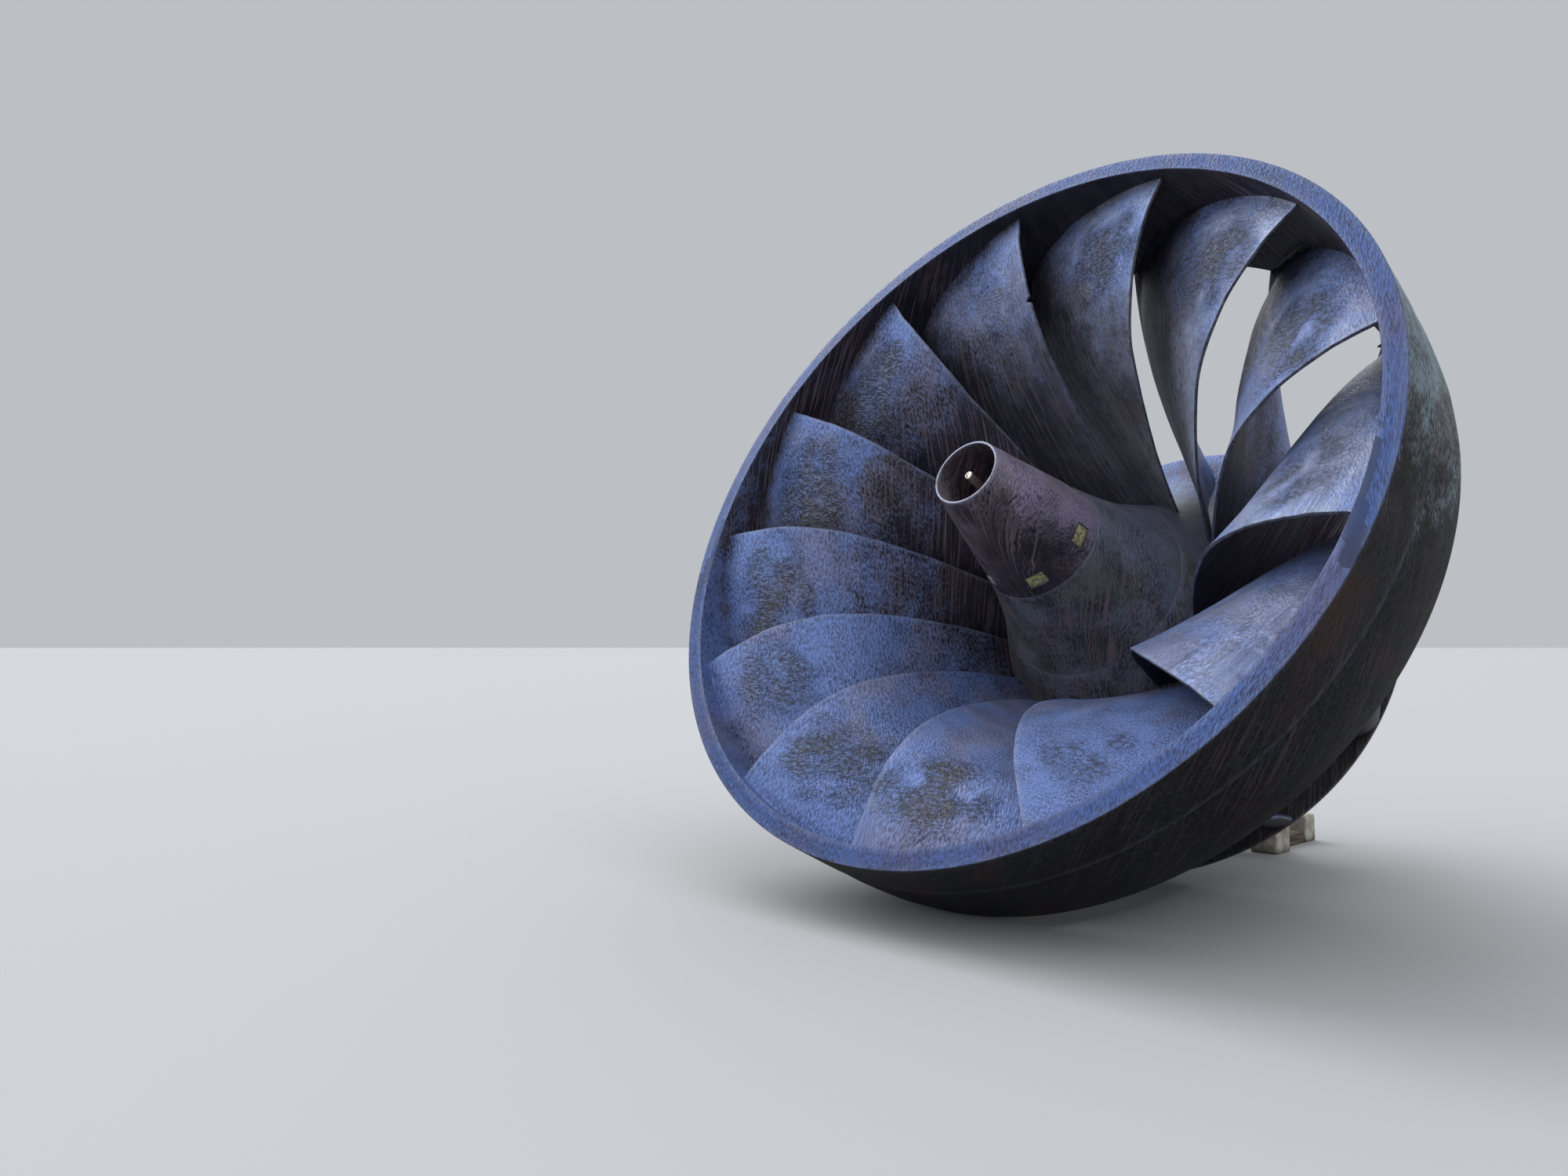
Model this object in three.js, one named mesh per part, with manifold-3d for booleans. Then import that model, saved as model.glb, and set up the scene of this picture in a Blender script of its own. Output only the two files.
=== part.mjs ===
// A cast steel Francis turbine runner, taken out of its machine and laid down on show.
// It rests on the edge of its outer band and on the rim of its crown, so its axis leans
// back and the outlet, with the trailing edges of the blades, faces forward and up.
// Millimetres. The runner is drawn on its own axis, local +Z towards the outlet, with the
// outlet face at height 0, and is then tilted as one group. In the finished part +Z is up,
// the outlet faces -Y, and the floor is the plane at height 0.
import * as THREE from "three";
import { mergeVertices } from "three/addons/utils/BufferGeometryUtils.js";
import Module from "manifold-3d";

// Driving dimensions
const OUTLET_RADIUS = 1700; // outside of the band at its outlet face
const BAND_WALL = 83; // width of the flat outlet face
const BAND_DEPTH = 612; // outlet face to the inlet edge of the band
const BAND_INLET_RADIUS = 1675; // outside of the band at its inlet edge
const CROWN_RIM_RADIUS = 1169; // front corner of the crown's rim
const CROWN_RIM_DEPTH = 1634; // outlet face to that corner
const CROWN_BACK_RADIUS = 1136; // rear corner of the crown's rim
const CROWN_BACK_DEPTH = 1700;
const SEAM_DEPTH = 530; // joint between the runner cone and the crown's hub
const SEAM_RADIUS = 288;
const MOUTH_RADIUS = 153; // outside of the nose tube at its open end
const MOUTH_HEIGHT = 60; // how far the tube stands out past the outlet face
const TUBE_WALL = 9;
const BORE_DEPTH = 330; // bottom of the open tube, below the outlet face
const FLANGE_RADIUS = 621; // shaft coupling behind the crown
const FLANGE_DEPTH = 2584;
const SHAFT_BORE_RADIUS = 260;
const COUPLING_STUDS = 12;
const BLADES = 13;
const FIRST_BLADE = 73.2; // degrees round the axis of the first blade's outlet tip
const AXIS_LEAN = 26.3; // degrees that the axis rises towards the outlet
const FIT = 0.3; // gap left between pieces that touch

// Corners at each pitch of the blades, so that every blade meets the same facets
const CORNERS_PER_BLADE = 5;
const ROUND = BLADES * CORNERS_PER_BLADE;
const PITCH = (2 * Math.PI) / BLADES;

const wasm = await Module();
wasm.setup();

// A closed geometry as a manifold-3d solid, and back.
function solid(geometry) {
  const bare = geometry.clone();
  bare.deleteAttribute("normal");
  bare.deleteAttribute("uv");
  const merged = mergeVertices(bare, 1e-3);
  return new wasm.Manifold(
    new wasm.Mesh({
      numProp: 3,
      vertProperties: merged.attributes.position.array,
      triVerts: new Uint32Array(merged.index.array),
    }),
  );
}

function geometryOf(body) {
  const mesh = body.getMesh();
  const geometry = new THREE.BufferGeometry();
  geometry.setAttribute("position", new THREE.BufferAttribute(mesh.vertProperties, 3));
  geometry.setIndex(new THREE.BufferAttribute(mesh.triVerts, 1));
  return geometry;
}

// A ring or disc turned about the local Z axis. The outline is a closed run of
// [radius, height], up the outside first.
function turned(outline, corners = ROUND) {
  const points = outline.map(([radius, height]) => new THREE.Vector2(radius, height));
  if (outline[0][0] > 0 || outline.at(-1)[0] > 0) points.push(points[0].clone());
  return new THREE.LatheGeometry(points, corners).rotateX(Math.PI / 2);
}

// Points on a smooth curve through a few [radius, height] pairs.
const smooth = (pairs) => new THREE.SplineCurve(pairs.map((pair) => new THREE.Vector2(...pair)));
function sampled(curve, steps, from = 0, to = 1) {
  return Array.from({ length: steps + 1 }, (_, index) => {
    const point = curve.getPoint(THREE.MathUtils.lerp(from, to, index / steps));
    return [point.x, point.y];
  });
}

// Meridian curves of the water passage, each run from the inlet to the outlet, and the
// number of straight steps that each is drawn with
const BAND_STEPS = 6;
const CROWN_STEPS = 8;
const HUB_STEPS = 4;
const bandInside = smooth([
  [1578, -BAND_DEPTH],
  [1604, -0.75 * BAND_DEPTH],
  [1621, -0.5 * BAND_DEPTH],
  [1626, -0.25 * BAND_DEPTH],
  [OUTLET_RADIUS - BAND_WALL, 0],
]);
const BAND_STEP_DEPTH = 255; // a shallow step round the outside, where the band thins
const bandOutside = smooth([
  [BAND_INLET_RADIUS + 14, -530],
  [1697, -400],
  [1693, -BAND_STEP_DEPTH - 6],
]);
const hubFace = smooth([
  [CROWN_RIM_RADIUS, -CROWN_RIM_DEPTH],
  [1010, -1606],
  [885, -1550],
  [790, -1470],
  [697, -1360],
  [588, -1190],
  [488, -1020],
  [400, -850],
  [335, -680],
  [SEAM_RADIUS, -SEAM_DEPTH],
]);
const HUB_JOINT = 0.702; // share of that curve from the rim to the joint of crown and hub
const crownFace = sampled(hubFace, CROWN_STEPS, 0, HUB_JOINT);
const hubSide = sampled(hubFace, HUB_STEPS, HUB_JOINT, 1);
const hubJointHeight = hubSide[0][1];

const steel = (color, roughness) =>
  new THREE.MeshStandardMaterial({ color, roughness, metalness: 0.7 });
const CAST = () => steel(0x2b2a30, 0.45);
const CONE = () => steel(0x2a2730, 0.5);
const BARE = () => steel(0x6d6a66, 0.4);
const LICHEN = () => new THREE.MeshStandardMaterial({ color: 0x8c8b4e, roughness: 0.95 });
const STONE = () => new THREE.MeshStandardMaterial({ color: 0xb9bfae, roughness: 0.9 });
const WOOD = () => new THREE.MeshStandardMaterial({ color: 0x5d4636, roughness: 0.9 });

function part(name, geometry, material) {
  const mesh = new THREE.Mesh(geometry, material);
  mesh.name = name;
  return mesh;
}

// Outer band: a flat outlet face, a shallow step round the outside where the seal ring
// ran, and a wall that draws in to a blunt inlet edge.
function bandGeometry() {
  return turned([
    [BAND_INLET_RADIUS, -BAND_DEPTH],
    ...sampled(bandOutside, 3),
    [OUTLET_RADIUS, -BAND_STEP_DEPTH],
    [OUTLET_RADIUS, 0],
    ...sampled(bandInside, BAND_STEPS).reverse(),
  ]);
}

// Crown: the flared face towards the water, a thick rim and a dished back.
const COUPLING_JOINT_DEPTH = 1790;
const COUPLING_JOINT_RADIUS = 640;
function crownGeometry() {
  return turned([
    [SHAFT_BORE_RADIUS, -COUPLING_JOINT_DEPTH],
    [COUPLING_JOINT_RADIUS, -COUPLING_JOINT_DEPTH],
    [760, -1690],
    [940, -1665],
    [975, -CROWN_BACK_DEPTH],
    [CROWN_BACK_RADIUS, -CROWN_BACK_DEPTH],
    ...crownFace,
    [SHAFT_BORE_RADIUS, hubJointHeight],
  ]);
}

// Hub: a ring on the crown that carries the runner cone.
const HUB_BORE_RADIUS = 200;
function hubGeometry() {
  return turned([
    [HUB_BORE_RADIUS, hubJointHeight + FIT],
    [hubSide[0][0], hubJointHeight + FIT],
    ...hubSide.slice(1),
    [HUB_BORE_RADIUS, -SEAM_DEPTH],
  ]);
}

// Shaft coupling: a neck that narrows from the back of the crown, and a flange with a
// shallow register round its bore and a circle of stud holes.
const FLANGE_THICKNESS = 230;
const REGISTER_RADIUS = 350;
const REGISTER_DEPTH = 60;
const NECK_RADIUS = 500;
const NECK_DEPTH = 2150;
const STUD_CIRCLE = 500;
const STUD_HOLE = 38;
const STUD_HOLE_DEPTH = 110;
const STUD_HOLE_SIDES = 8;
function couplingGeometry() {
  let body = solid(
    turned([
      [SHAFT_BORE_RADIUS, -FLANGE_DEPTH + REGISTER_DEPTH],
      [REGISTER_RADIUS, -FLANGE_DEPTH + REGISTER_DEPTH],
      [REGISTER_RADIUS, -FLANGE_DEPTH],
      [FLANGE_RADIUS, -FLANGE_DEPTH],
      [FLANGE_RADIUS, -FLANGE_DEPTH + FLANGE_THICKNESS],
      [NECK_RADIUS, -FLANGE_DEPTH + FLANGE_THICKNESS],
      [NECK_RADIUS, -NECK_DEPTH],
      [COUPLING_JOINT_RADIUS, -COUPLING_JOINT_DEPTH - FIT],
      [SHAFT_BORE_RADIUS, -COUPLING_JOINT_DEPTH - FIT],
    ]),
  );
  const depth = 2 * STUD_HOLE_DEPTH;
  const hole = new THREE.CylinderGeometry(STUD_HOLE, STUD_HOLE, depth, STUD_HOLE_SIDES);
  hole.rotateX(Math.PI / 2).translate(STUD_CIRCLE, 0, -FLANGE_DEPTH);
  for (let index = 0; index < COUPLING_STUDS; index++) {
    const turn = ((index + 0.5) * 2 * Math.PI) / COUPLING_STUDS;
    body = body.subtract(solid(hole.clone().rotateZ(turn)));
  }
  return geometryOf(body);
}

// Runner cone: the hollow nose bolted to the hub, open at its outlet end, with a square
// pocket over each of its bolts.
const POCKETS = 6;
const FIRST_POCKET = -7; // degrees round the axis
const POCKET_DEPTH = 452; // outlet face to the middle of a pocket
const POCKET_LENGTH = 62;
const POCKET_WIDTH = 92;
const POCKET_RADIUS = 268; // the cone's own radius there
const POCKET_SINK = 20;
const COVER_THICKNESS = 12;
const COVER_SINK = 6; // the filling's face lies this far below the cone
const coneSlope = Math.atan2(SEAM_RADIUS - MOUTH_RADIUS, SEAM_DEPTH + MOUTH_HEIGHT);

// A box lying flat on the cone at the angle of one pocket, its outer face raised by lift.
function pocketBlock(index, length, width, thickness, lift) {
  const block = new THREE.BoxGeometry(thickness, width, length);
  block.translate(lift - thickness / 2, 0, 0);
  block.rotateY(-coneSlope);
  block.translate(POCKET_RADIUS, 0, -POCKET_DEPTH);
  block.rotateZ(THREE.MathUtils.degToRad(FIRST_POCKET) + (index * 2 * Math.PI) / POCKETS);
  return block;
}

function coneGeometry() {
  const boreRadius = MOUTH_RADIUS - TUBE_WALL;
  let body = solid(
    turned([
      [0, -SEAM_DEPTH + FIT],
      [SEAM_RADIUS, -SEAM_DEPTH + FIT],
      [MOUTH_RADIUS, MOUTH_HEIGHT],
      [boreRadius, MOUTH_HEIGHT],
      [boreRadius, -BORE_DEPTH],
      [0, -BORE_DEPTH],
    ], ROUND / 2),
  );
  for (let index = 0; index < POCKETS; index++) {
    const cut = pocketBlock(index, POCKET_LENGTH, POCKET_WIDTH, 2 * POCKET_SINK, POCKET_SINK);
    body = body.subtract(solid(cut));
  }
  return geometryOf(body);
}

// Blades. A mean surface is spanned between four edges: the inlet edge, the outlet edge, and
// the curves where the blade meets the band and the hub. Along the span s runs from 0 at the
// band to 1 at the hub, and along the flow q runs from 0 at the inlet edge to 1 at the outlet
// edge. The surface is thickened to both sides and trimmed to the passage.
const BAND_WRAP = 42.4; // degrees round the axis from the outlet tip back to the inlet edge
const HUB_WRAP = 48.5;
const BAND_EVEN = 0.65; // share of the turn at the band that is shed evenly, the rest late
const BAND_LATE = 5;
const HUB_HOLD = 3.2; // above 1 the blade keeps its turn along the crown and sheds it late
const HUB_DIP = 74; // degrees, times s * s * q(1 - q)(1 - q): at most 11, shed early at the crown
const BULGE = 36; // degrees, times s(1 - s)q(1 - q): the middle stands out by 2.2
const BULGE_LATE = 57; // added to the bulge at the outlet edge and taken from it at the inlet
const BULGE_OUT = 51; // added to it at the band and taken from it at the hub
const OUTLET_EDGE = smooth([
  [1640, -70],
  [1445, -80],
  [1190, -158],
  [935, -364],
  [680, -799],
  [520, -1230],
]);
const OUTLET_EDGE_TURN = [0, -0.6, -2.1, -3.9, -7.8, -12.5]; // degrees at those points
const BAND_FROM = new THREE.Vector2(1572, -BAND_DEPTH + 8); // ends of the inlet edge
const HUB_FROM = new THREE.Vector2(1152, -CROWN_RIM_DEPTH + 6);
const BAND_END = 0.93; // share of the band's inside that the blade covers, from the inlet
const HUB_END = 0.716; // and of the hub's face
const OVERRUN = 0.012; // how far the untrimmed blade reaches past band and hub
const EDGE_THICKNESS = 13; // at the outlet edge
const NOSE_THICKNESS = 52;
const NOSE_END = 0.06; // shares of the flow where the round nose ends and the taper starts
const TAPER_START = 0.15;
const SPAN_STEPS = 6;
const FLOW_STEPS = 9;
const FLOW_CROWDING = 1.15; // above 1 the steps are shorter near the nose

const mix = THREE.MathUtils.lerp;

// A point on a curve, carried on straight past its two ends.
function carriedOn(curve, at) {
  const inside = THREE.MathUtils.clamp(at, 0, 1);
  const inward = inside === 0 ? 0.01 : -0.01;
  const end = curve.getPoint(inside);
  if (at === inside) return end;
  const slope = end.clone().sub(curve.getPoint(inside + inward)).divideScalar(-inward);
  return end.addScaledVector(slope, at - inside);
}

// Turn round the axis, in degrees, along each of the four edges.
const bandTurn = (q) => BAND_WRAP * (1 - BAND_EVEN * q - (1 - BAND_EVEN) * q ** BAND_LATE);
const outletTurn = (s) => {
  const at = s * (OUTLET_EDGE_TURN.length - 1);
  const low = THREE.MathUtils.clamp(Math.floor(at), 0, OUTLET_EDGE_TURN.length - 2);
  return mix(OUTLET_EDGE_TURN[low], OUTLET_EDGE_TURN[low + 1], at - low);
};
const hubTurn = (q) => mix(HUB_WRAP, outletTurn(1), q ** HUB_HOLD);
const inletTurn = (s) => mix(BAND_WRAP, HUB_WRAP, s * (2 - s));

// Radius, height and turn of the mean surface at (s, q): a Coons patch with a bulge and a dip.
function meanSurface(s, q) {
  const bandShift = BAND_FROM.clone().sub(bandInside.getPoint(0));
  const hubShift = HUB_FROM.clone().sub(hubFace.getPoint(0));
  const band = carriedOn(bandInside, q * BAND_END).addScaledVector(bandShift, 1 - q);
  const hub = carriedOn(hubFace, q * HUB_END).addScaledVector(hubShift, 1 - q);
  const straight = bandInside.getPoint(BAND_END).lerp(hubFace.getPoint(HUB_END), s);
  const bow = carriedOn(OUTLET_EDGE, s).sub(straight);
  const place = band.lerp(hub, s).addScaledVector(bow, q);
  const bulge = BULGE + BULGE_LATE * (2 * q - 1) + BULGE_OUT * (1 - 2 * s);
  const turn =
    mix(bandTurn(q), hubTurn(q), s) +
    q * (outletTurn(s) - mix(0, outletTurn(1), s)) +
    (1 - q) * (inletTurn(s) - mix(BAND_WRAP, HUB_WRAP, s)) +
    bulge * s * (1 - s) * q * (1 - q) -
    HUB_DIP * s * s * q * (1 - q) * (1 - q);
  return { radius: place.x, height: place.y, turn: THREE.MathUtils.degToRad(turn) };
}

function meanPoint(s, q) {
  const { radius, height, turn } = meanSurface(s, q);
  return new THREE.Vector3(radius * Math.cos(turn), radius * Math.sin(turn), height);
}

// Half thickness: blunt and round at the nose, thin at the outlet.
function halfThickness(q) {
  const nose = Math.sqrt(Math.min(1, q / NOSE_END));
  const taper = THREE.MathUtils.smoothstep(q, TAPER_START, 1);
  return mix(0.25, 0.5, nose) * mix(NOSE_THICKNESS, EDGE_THICKNESS, taper);
}

function bladeGeometry() {
  const positions = [];
  const triangles = [];
  const rows = SPAN_STEPS + 1;
  const columns = FLOW_STEPS + 1;
  const step = 1e-3;
  for (const side of [1, -1]) {
    for (let i = 0; i < rows; i++) {
      const s = mix(-OVERRUN, 1 + OVERRUN, i / SPAN_STEPS);
      for (let j = 0; j < columns; j++) {
        const q = (j / FLOW_STEPS) ** FLOW_CROWDING;
        const here = meanPoint(s, q);
        const acrossSpan = meanPoint(s + step, q).sub(here);
        const alongFlow = meanPoint(s, q + step).sub(here);
        const normal = acrossSpan.cross(alongFlow).normalize();
        here.addScaledVector(normal, side * halfThickness(q));
        positions.push(here.x, here.y, here.z);
      }
    }
  }
  const at = (face, i, j) => face * rows * columns + i * columns + j;
  const quad = (a, b, c, d) => triangles.push(a, b, c, a, c, d);
  for (let i = 0; i < SPAN_STEPS; i++) {
    for (let j = 0; j < FLOW_STEPS; j++) {
      quad(at(0, i, j), at(0, i + 1, j), at(0, i + 1, j + 1), at(0, i, j + 1));
      quad(at(1, i, j), at(1, i, j + 1), at(1, i + 1, j + 1), at(1, i + 1, j));
    }
    const last = FLOW_STEPS;
    quad(at(0, i, 0), at(1, i, 0), at(1, i + 1, 0), at(0, i + 1, 0));
    quad(at(0, i + 1, last), at(1, i + 1, last), at(1, i, last), at(0, i, last));
  }
  for (let j = 0; j < FLOW_STEPS; j++) {
    const last = SPAN_STEPS;
    quad(at(0, 0, j), at(0, 0, j + 1), at(1, 0, j + 1), at(1, 0, j));
    quad(at(0, last, j), at(1, last, j), at(1, last, j + 1), at(0, last, j + 1));
  }
  const geometry = new THREE.BufferGeometry();
  geometry.setAttribute("position", new THREE.Float32BufferAttribute(positions, 3));
  geometry.setIndex(triangles);
  return geometry;
}

// The room between band and hub, less a fit gap, that every blade is trimmed to.
const INLET_ROOM = 50; // room left ahead of the band's inlet edge for the blade's round nose
function passageGeometry() {
  const outer = sampled(bandInside, BAND_STEPS).map(([radius, height]) => [radius - FIT, height]);
  const inner = [...crownFace, ...hubSide.slice(1)];
  const clear = inner.map(([radius, height]) => [radius + FIT, height + FIT]);
  return turned([
    clear[0],
    [outer[0][0] - INLET_ROOM, -BAND_DEPTH - INLET_ROOM],
    ...outer,
    [SEAM_RADIUS + FIT, 0],
    ...clear.slice(1).reverse(),
  ]);
}

const runner = new THREE.Group();
runner.rotation.x = Math.PI / 2 - THREE.MathUtils.degToRad(AXIS_LEAN);
runner.add(part("outer_band", bandGeometry(), CAST()));
runner.add(part("crown", crownGeometry(), CAST()));
runner.add(part("hub", hubGeometry(), CAST()));
runner.add(part("shaft_coupling", couplingGeometry(), CAST()));
runner.add(part("runner_cone", coneGeometry(), CONE()));

// The facets of the band and the crown repeat at every blade, so one blade is trimmed to
// them, and whole pitches turn it into the others.
const first = bladeGeometry().rotateZ(THREE.MathUtils.degToRad(FIRST_BLADE));
const trimmed = geometryOf(solid(first).intersect(solid(passageGeometry())));
for (let index = 0; index < BLADES; index++) {
  const blade = part("blade_" + String(index + 1).padStart(2, "0"), trimmed, CAST());
  blade.rotation.z = -index * PITCH;
  runner.add(blade);
}

for (let index = 0; index < POCKETS; index++) {
  const length = POCKET_LENGTH - 2 * FIT;
  const width = POCKET_WIDTH - 2 * FIT;
  const cover = pocketBlock(index, length, width, COVER_THICKNESS, -COVER_SINK);
  runner.add(part("bolt_pocket_cover_" + (index + 1), cover, LICHEN()));
}

// Tie rod: stands on the bottom of the nose bore on a collar, its end just inside the mouth.
const ROD_RADIUS = 18;
const ROD_END = 37;
const ROD_CORNERS = 24;
const COLLAR_RADIUS = 46;
const COLLAR_HEIGHT = 34;
const rodFoot = -BORE_DEPTH + FIT;
runner.add(
  part(
    "tie_rod",
    turned([
      [0, rodFoot],
      [COLLAR_RADIUS, rodFoot],
      [COLLAR_RADIUS, rodFoot + COLLAR_HEIGHT],
      [ROD_RADIUS, rodFoot + COLLAR_HEIGHT],
      [ROD_RADIUS, ROD_END],
      [0, ROD_END],
    ], ROD_CORNERS),
    BARE(),
  ),
);

// On the floor: a wedge-topped stone block under each side of the coupling, and behind the
// right one, in a row, a length of timber and a low block.
const lean = THREE.MathUtils.degToRad(AXIS_LEAN);
const outletHeight = BAND_DEPTH * Math.sin(lean) + BAND_INLET_RADIUS * Math.cos(lean);

// Each block under the coupling touches one corner of the coupling's rear edge, a few
// facets up from its lowest one, and its top lies along the edge there. Distances behind
// are measured level, from the centre of the outlet.
const CONTACT_CORNERS = 5;
const contactTurn = (CONTACT_CORNERS * PITCH) / CORNERS_PER_BLADE;
const contactAcross = FLANGE_RADIUS * Math.sin(contactTurn);
const contactDown = FLANGE_RADIUS * Math.cos(contactTurn);
const contactHeight =
  outletHeight - FLANGE_DEPTH * Math.sin(lean) - contactDown * Math.cos(lean);
const contactBehind = FLANGE_DEPTH * Math.cos(lean) - contactDown * Math.sin(lean);

const BLOCK_IN = 200; // inner and outer sides of the blocks
const BLOCK_OUT = 345;
const BLOCK_LENGTH = 170;
const BLOCK_REACH = 55; // how far a block reaches forward of the corner it carries
const blockBack = contactBehind - BLOCK_REACH + BLOCK_LENGTH;
function couplingBlock(side) {
  const slope = Math.tan(contactTurn) * Math.cos(lean);
  const top = (x) => contactHeight - FIT + (x - contactAcross) * slope;
  const face = new THREE.Shape([
    new THREE.Vector2(side * BLOCK_IN, 0),
    new THREE.Vector2(side * BLOCK_OUT, 0),
    new THREE.Vector2(side * BLOCK_OUT, top(BLOCK_OUT)),
    new THREE.Vector2(side * BLOCK_IN, top(BLOCK_IN)),
  ]);
  const block = new THREE.ExtrudeGeometry(face, { depth: BLOCK_LENGTH, bevelEnabled: false });
  return block.rotateX(Math.PI / 2).translate(0, blockBack, 0);
}

// A box on the floor that starts at a distance behind.
function floorBox({ x, width, length, height }, start) {
  return new THREE.BoxGeometry(width, length, height).translate(x, start + length / 2, height / 2);
}

const TIMBER = { x: 240, width: 75, length: 316, height: 66 };
const REAR_BLOCK = { x: 235, width: 105, length: 130, height: 145 };
const timberStart = blockBack + FIT;
const rearStart = timberStart + TIMBER.length + FIT;

// The floor lies at height 0, and the middle of the whole part's length at y = 0.
const shown = new THREE.Group();
runner.position.z = outletHeight;
shown.add(runner);
shown.add(part("coupling_block_right", couplingBlock(1), STONE()));
shown.add(part("coupling_block_left", couplingBlock(-1), STONE()));
shown.add(part("packing_timber", floorBox(TIMBER, timberStart), WOOD()));
shown.add(part("rear_block", floorBox(REAR_BLOCK, rearStart), STONE()));
const front = -OUTLET_RADIUS * Math.sin(lean);
const back = rearStart + REAR_BLOCK.length;
shown.position.y = -(front + back) / 2;

export default shown;
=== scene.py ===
import math

import bpy
import numpy as np
from mathutils import Matrix, Vector, noise
from mathutils.bvhtree import BVHTree


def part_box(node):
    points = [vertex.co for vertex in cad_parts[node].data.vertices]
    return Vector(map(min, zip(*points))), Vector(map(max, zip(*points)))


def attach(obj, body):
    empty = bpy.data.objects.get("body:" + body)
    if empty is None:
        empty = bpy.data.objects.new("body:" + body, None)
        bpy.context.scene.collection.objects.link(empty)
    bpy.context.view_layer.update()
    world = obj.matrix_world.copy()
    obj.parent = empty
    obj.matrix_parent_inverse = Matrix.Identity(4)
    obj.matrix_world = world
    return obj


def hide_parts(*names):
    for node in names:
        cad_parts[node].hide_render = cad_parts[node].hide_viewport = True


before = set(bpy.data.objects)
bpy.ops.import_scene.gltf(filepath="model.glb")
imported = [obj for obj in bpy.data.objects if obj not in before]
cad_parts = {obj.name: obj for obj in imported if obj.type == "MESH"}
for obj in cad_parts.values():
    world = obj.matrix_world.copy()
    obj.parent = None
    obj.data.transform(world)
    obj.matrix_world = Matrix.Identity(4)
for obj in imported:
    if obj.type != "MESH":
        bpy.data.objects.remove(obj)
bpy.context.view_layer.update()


# Outer band
# A cast steel ring that ties the outer ends of the blades together. Its flat outlet face
# looks forward and up, a shallow step runs round the outside where the seal sat, and the
# wall draws in to the inlet edge that the runner now lies on.
LEAN = math.radians(26.3)
BLADES = 13
PITCH = math.tau / BLADES
OUTLET_RADIUS = 1.7
BAND_RADIUS = 1.6995
BAND_INLET_RADIUS = 1.675
BAND_BORE = 1.617
BAND_DEPTH = 0.612
BAND_STEP = 0.255
CASTING_WAVE = 0.0014
WAVE_FADE = 0.03
EDGE_RUB = 0.007
BARE_REACH = 0.010
SHARP_FROM = math.radians(38)

outlet_height = BAND_DEPTH * math.sin(LEAN) + BAND_INLET_RADIUS * math.cos(LEAN)
outlet_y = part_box("outer_band")[0].y + OUTLET_RADIUS * math.sin(LEAN)
laid_down = np.array(
    Matrix.Translation((0, outlet_y, outlet_height))
    @ Matrix.Rotation(math.pi / 2 - LEAN, 4, "X")
)

band_inside = [
    (1.578, -BAND_DEPTH), (1.604, -0.459), (1.621, -0.306), (1.626, -0.153), (BAND_BORE, 0),
]
band_outside = [(1.689, -0.530), (1.697, -0.400), (1.693, -BAND_STEP - 0.006)]


def lay(points):
    """Points of the upright runner, axis along Z, moved to where it lies."""
    return points @ laid_down[:3, :3].T + laid_down[:3, 3]


def curve_at(pairs, share):
    """Points at shares from 0 to 1 of a smooth curve through the pairs."""
    pairs = np.array(pairs, float)
    last = len(pairs) - 1
    place = np.clip(share, 0, 1) * last
    first = np.minimum(np.floor(place).astype(int), last - 1)
    t = (place - first)[..., None]
    a, b, c, d = (pairs[np.clip(first + k, 0, last)] for k in (-1, 0, 1, 2))
    return 0.5 * (
        2 * b + (c - a) * t + (2 * a - 5 * b + 4 * c - d) * t**2 + (3 * b - a - 3 * c + d) * t**3
    )


def run(pairs, steps, start=0.0, end=1.0):
    """A run of soft outline points along a smooth curve, none of them a corner."""
    points = curve_at(pairs, np.linspace(start, end, steps + 1))
    return [(radius, height, 0.0) for radius, height in points]


def rounded(outline, spacing, closed=True):
    """An outline of (radius, height, rounding) with its corners rounded and long edges divided."""
    count = len(outline)
    points = []
    for k, (x, y, rounding) in enumerate(outline):
        here = np.array((x, y))
        if rounding == 0 or (not closed and k in (0, count - 1)):
            points.append(here)
            continue
        before = np.array(outline[k - 1][:2]) - here
        after = np.array(outline[(k + 1) % count][:2]) - here
        start = here + before / np.linalg.norm(before) * rounding
        end = here + after / np.linalg.norm(after) * rounding
        for t in np.linspace(0, 1, 5):
            points.append((1 - t) ** 2 * start + 2 * t * (1 - t) * here + t * t * end)
    if closed:
        points.append(points[0])
    fine = []
    for start, end in zip(points, points[1:]):
        parts = max(1, math.ceil(np.linalg.norm(end - start) / spacing))
        fine += [start + (end - start) * k / parts for k in range(parts)]
    if not closed:
        fine.append(points[-1])
    return np.array(fine)


def turned_grid(outline, corners):
    """The points of an outline turned round the axis, first corner at the bottom."""
    angle = np.arange(corners) * math.tau / corners - math.pi / 2
    radius, height = outline[:, :1], outline[:, 1:]
    flat = np.ones_like(angle)
    return np.stack([radius * np.cos(angle), radius * np.sin(angle), height * flat], -1)


def sample(grid, rows, cols, closed):
    """Values of a grid between its points."""
    count, width = grid.shape[:2]
    rows = np.clip(rows, 0, count - 1.001)
    cols = np.mod(cols, width) if closed else np.clip(cols, 0, width - 1.001)
    i = np.floor(rows).astype(int)
    j = np.floor(cols).astype(int) % width
    after = (j + 1) % width
    s, t = (rows - i)[..., None], (cols - np.floor(cols))[..., None]
    near = grid[i, j] * (1 - t) + grid[i, after] * t
    far = grid[i + 1, j] * (1 - t) + grid[i + 1, after] * t
    return near * (1 - s) + far * s


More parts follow.
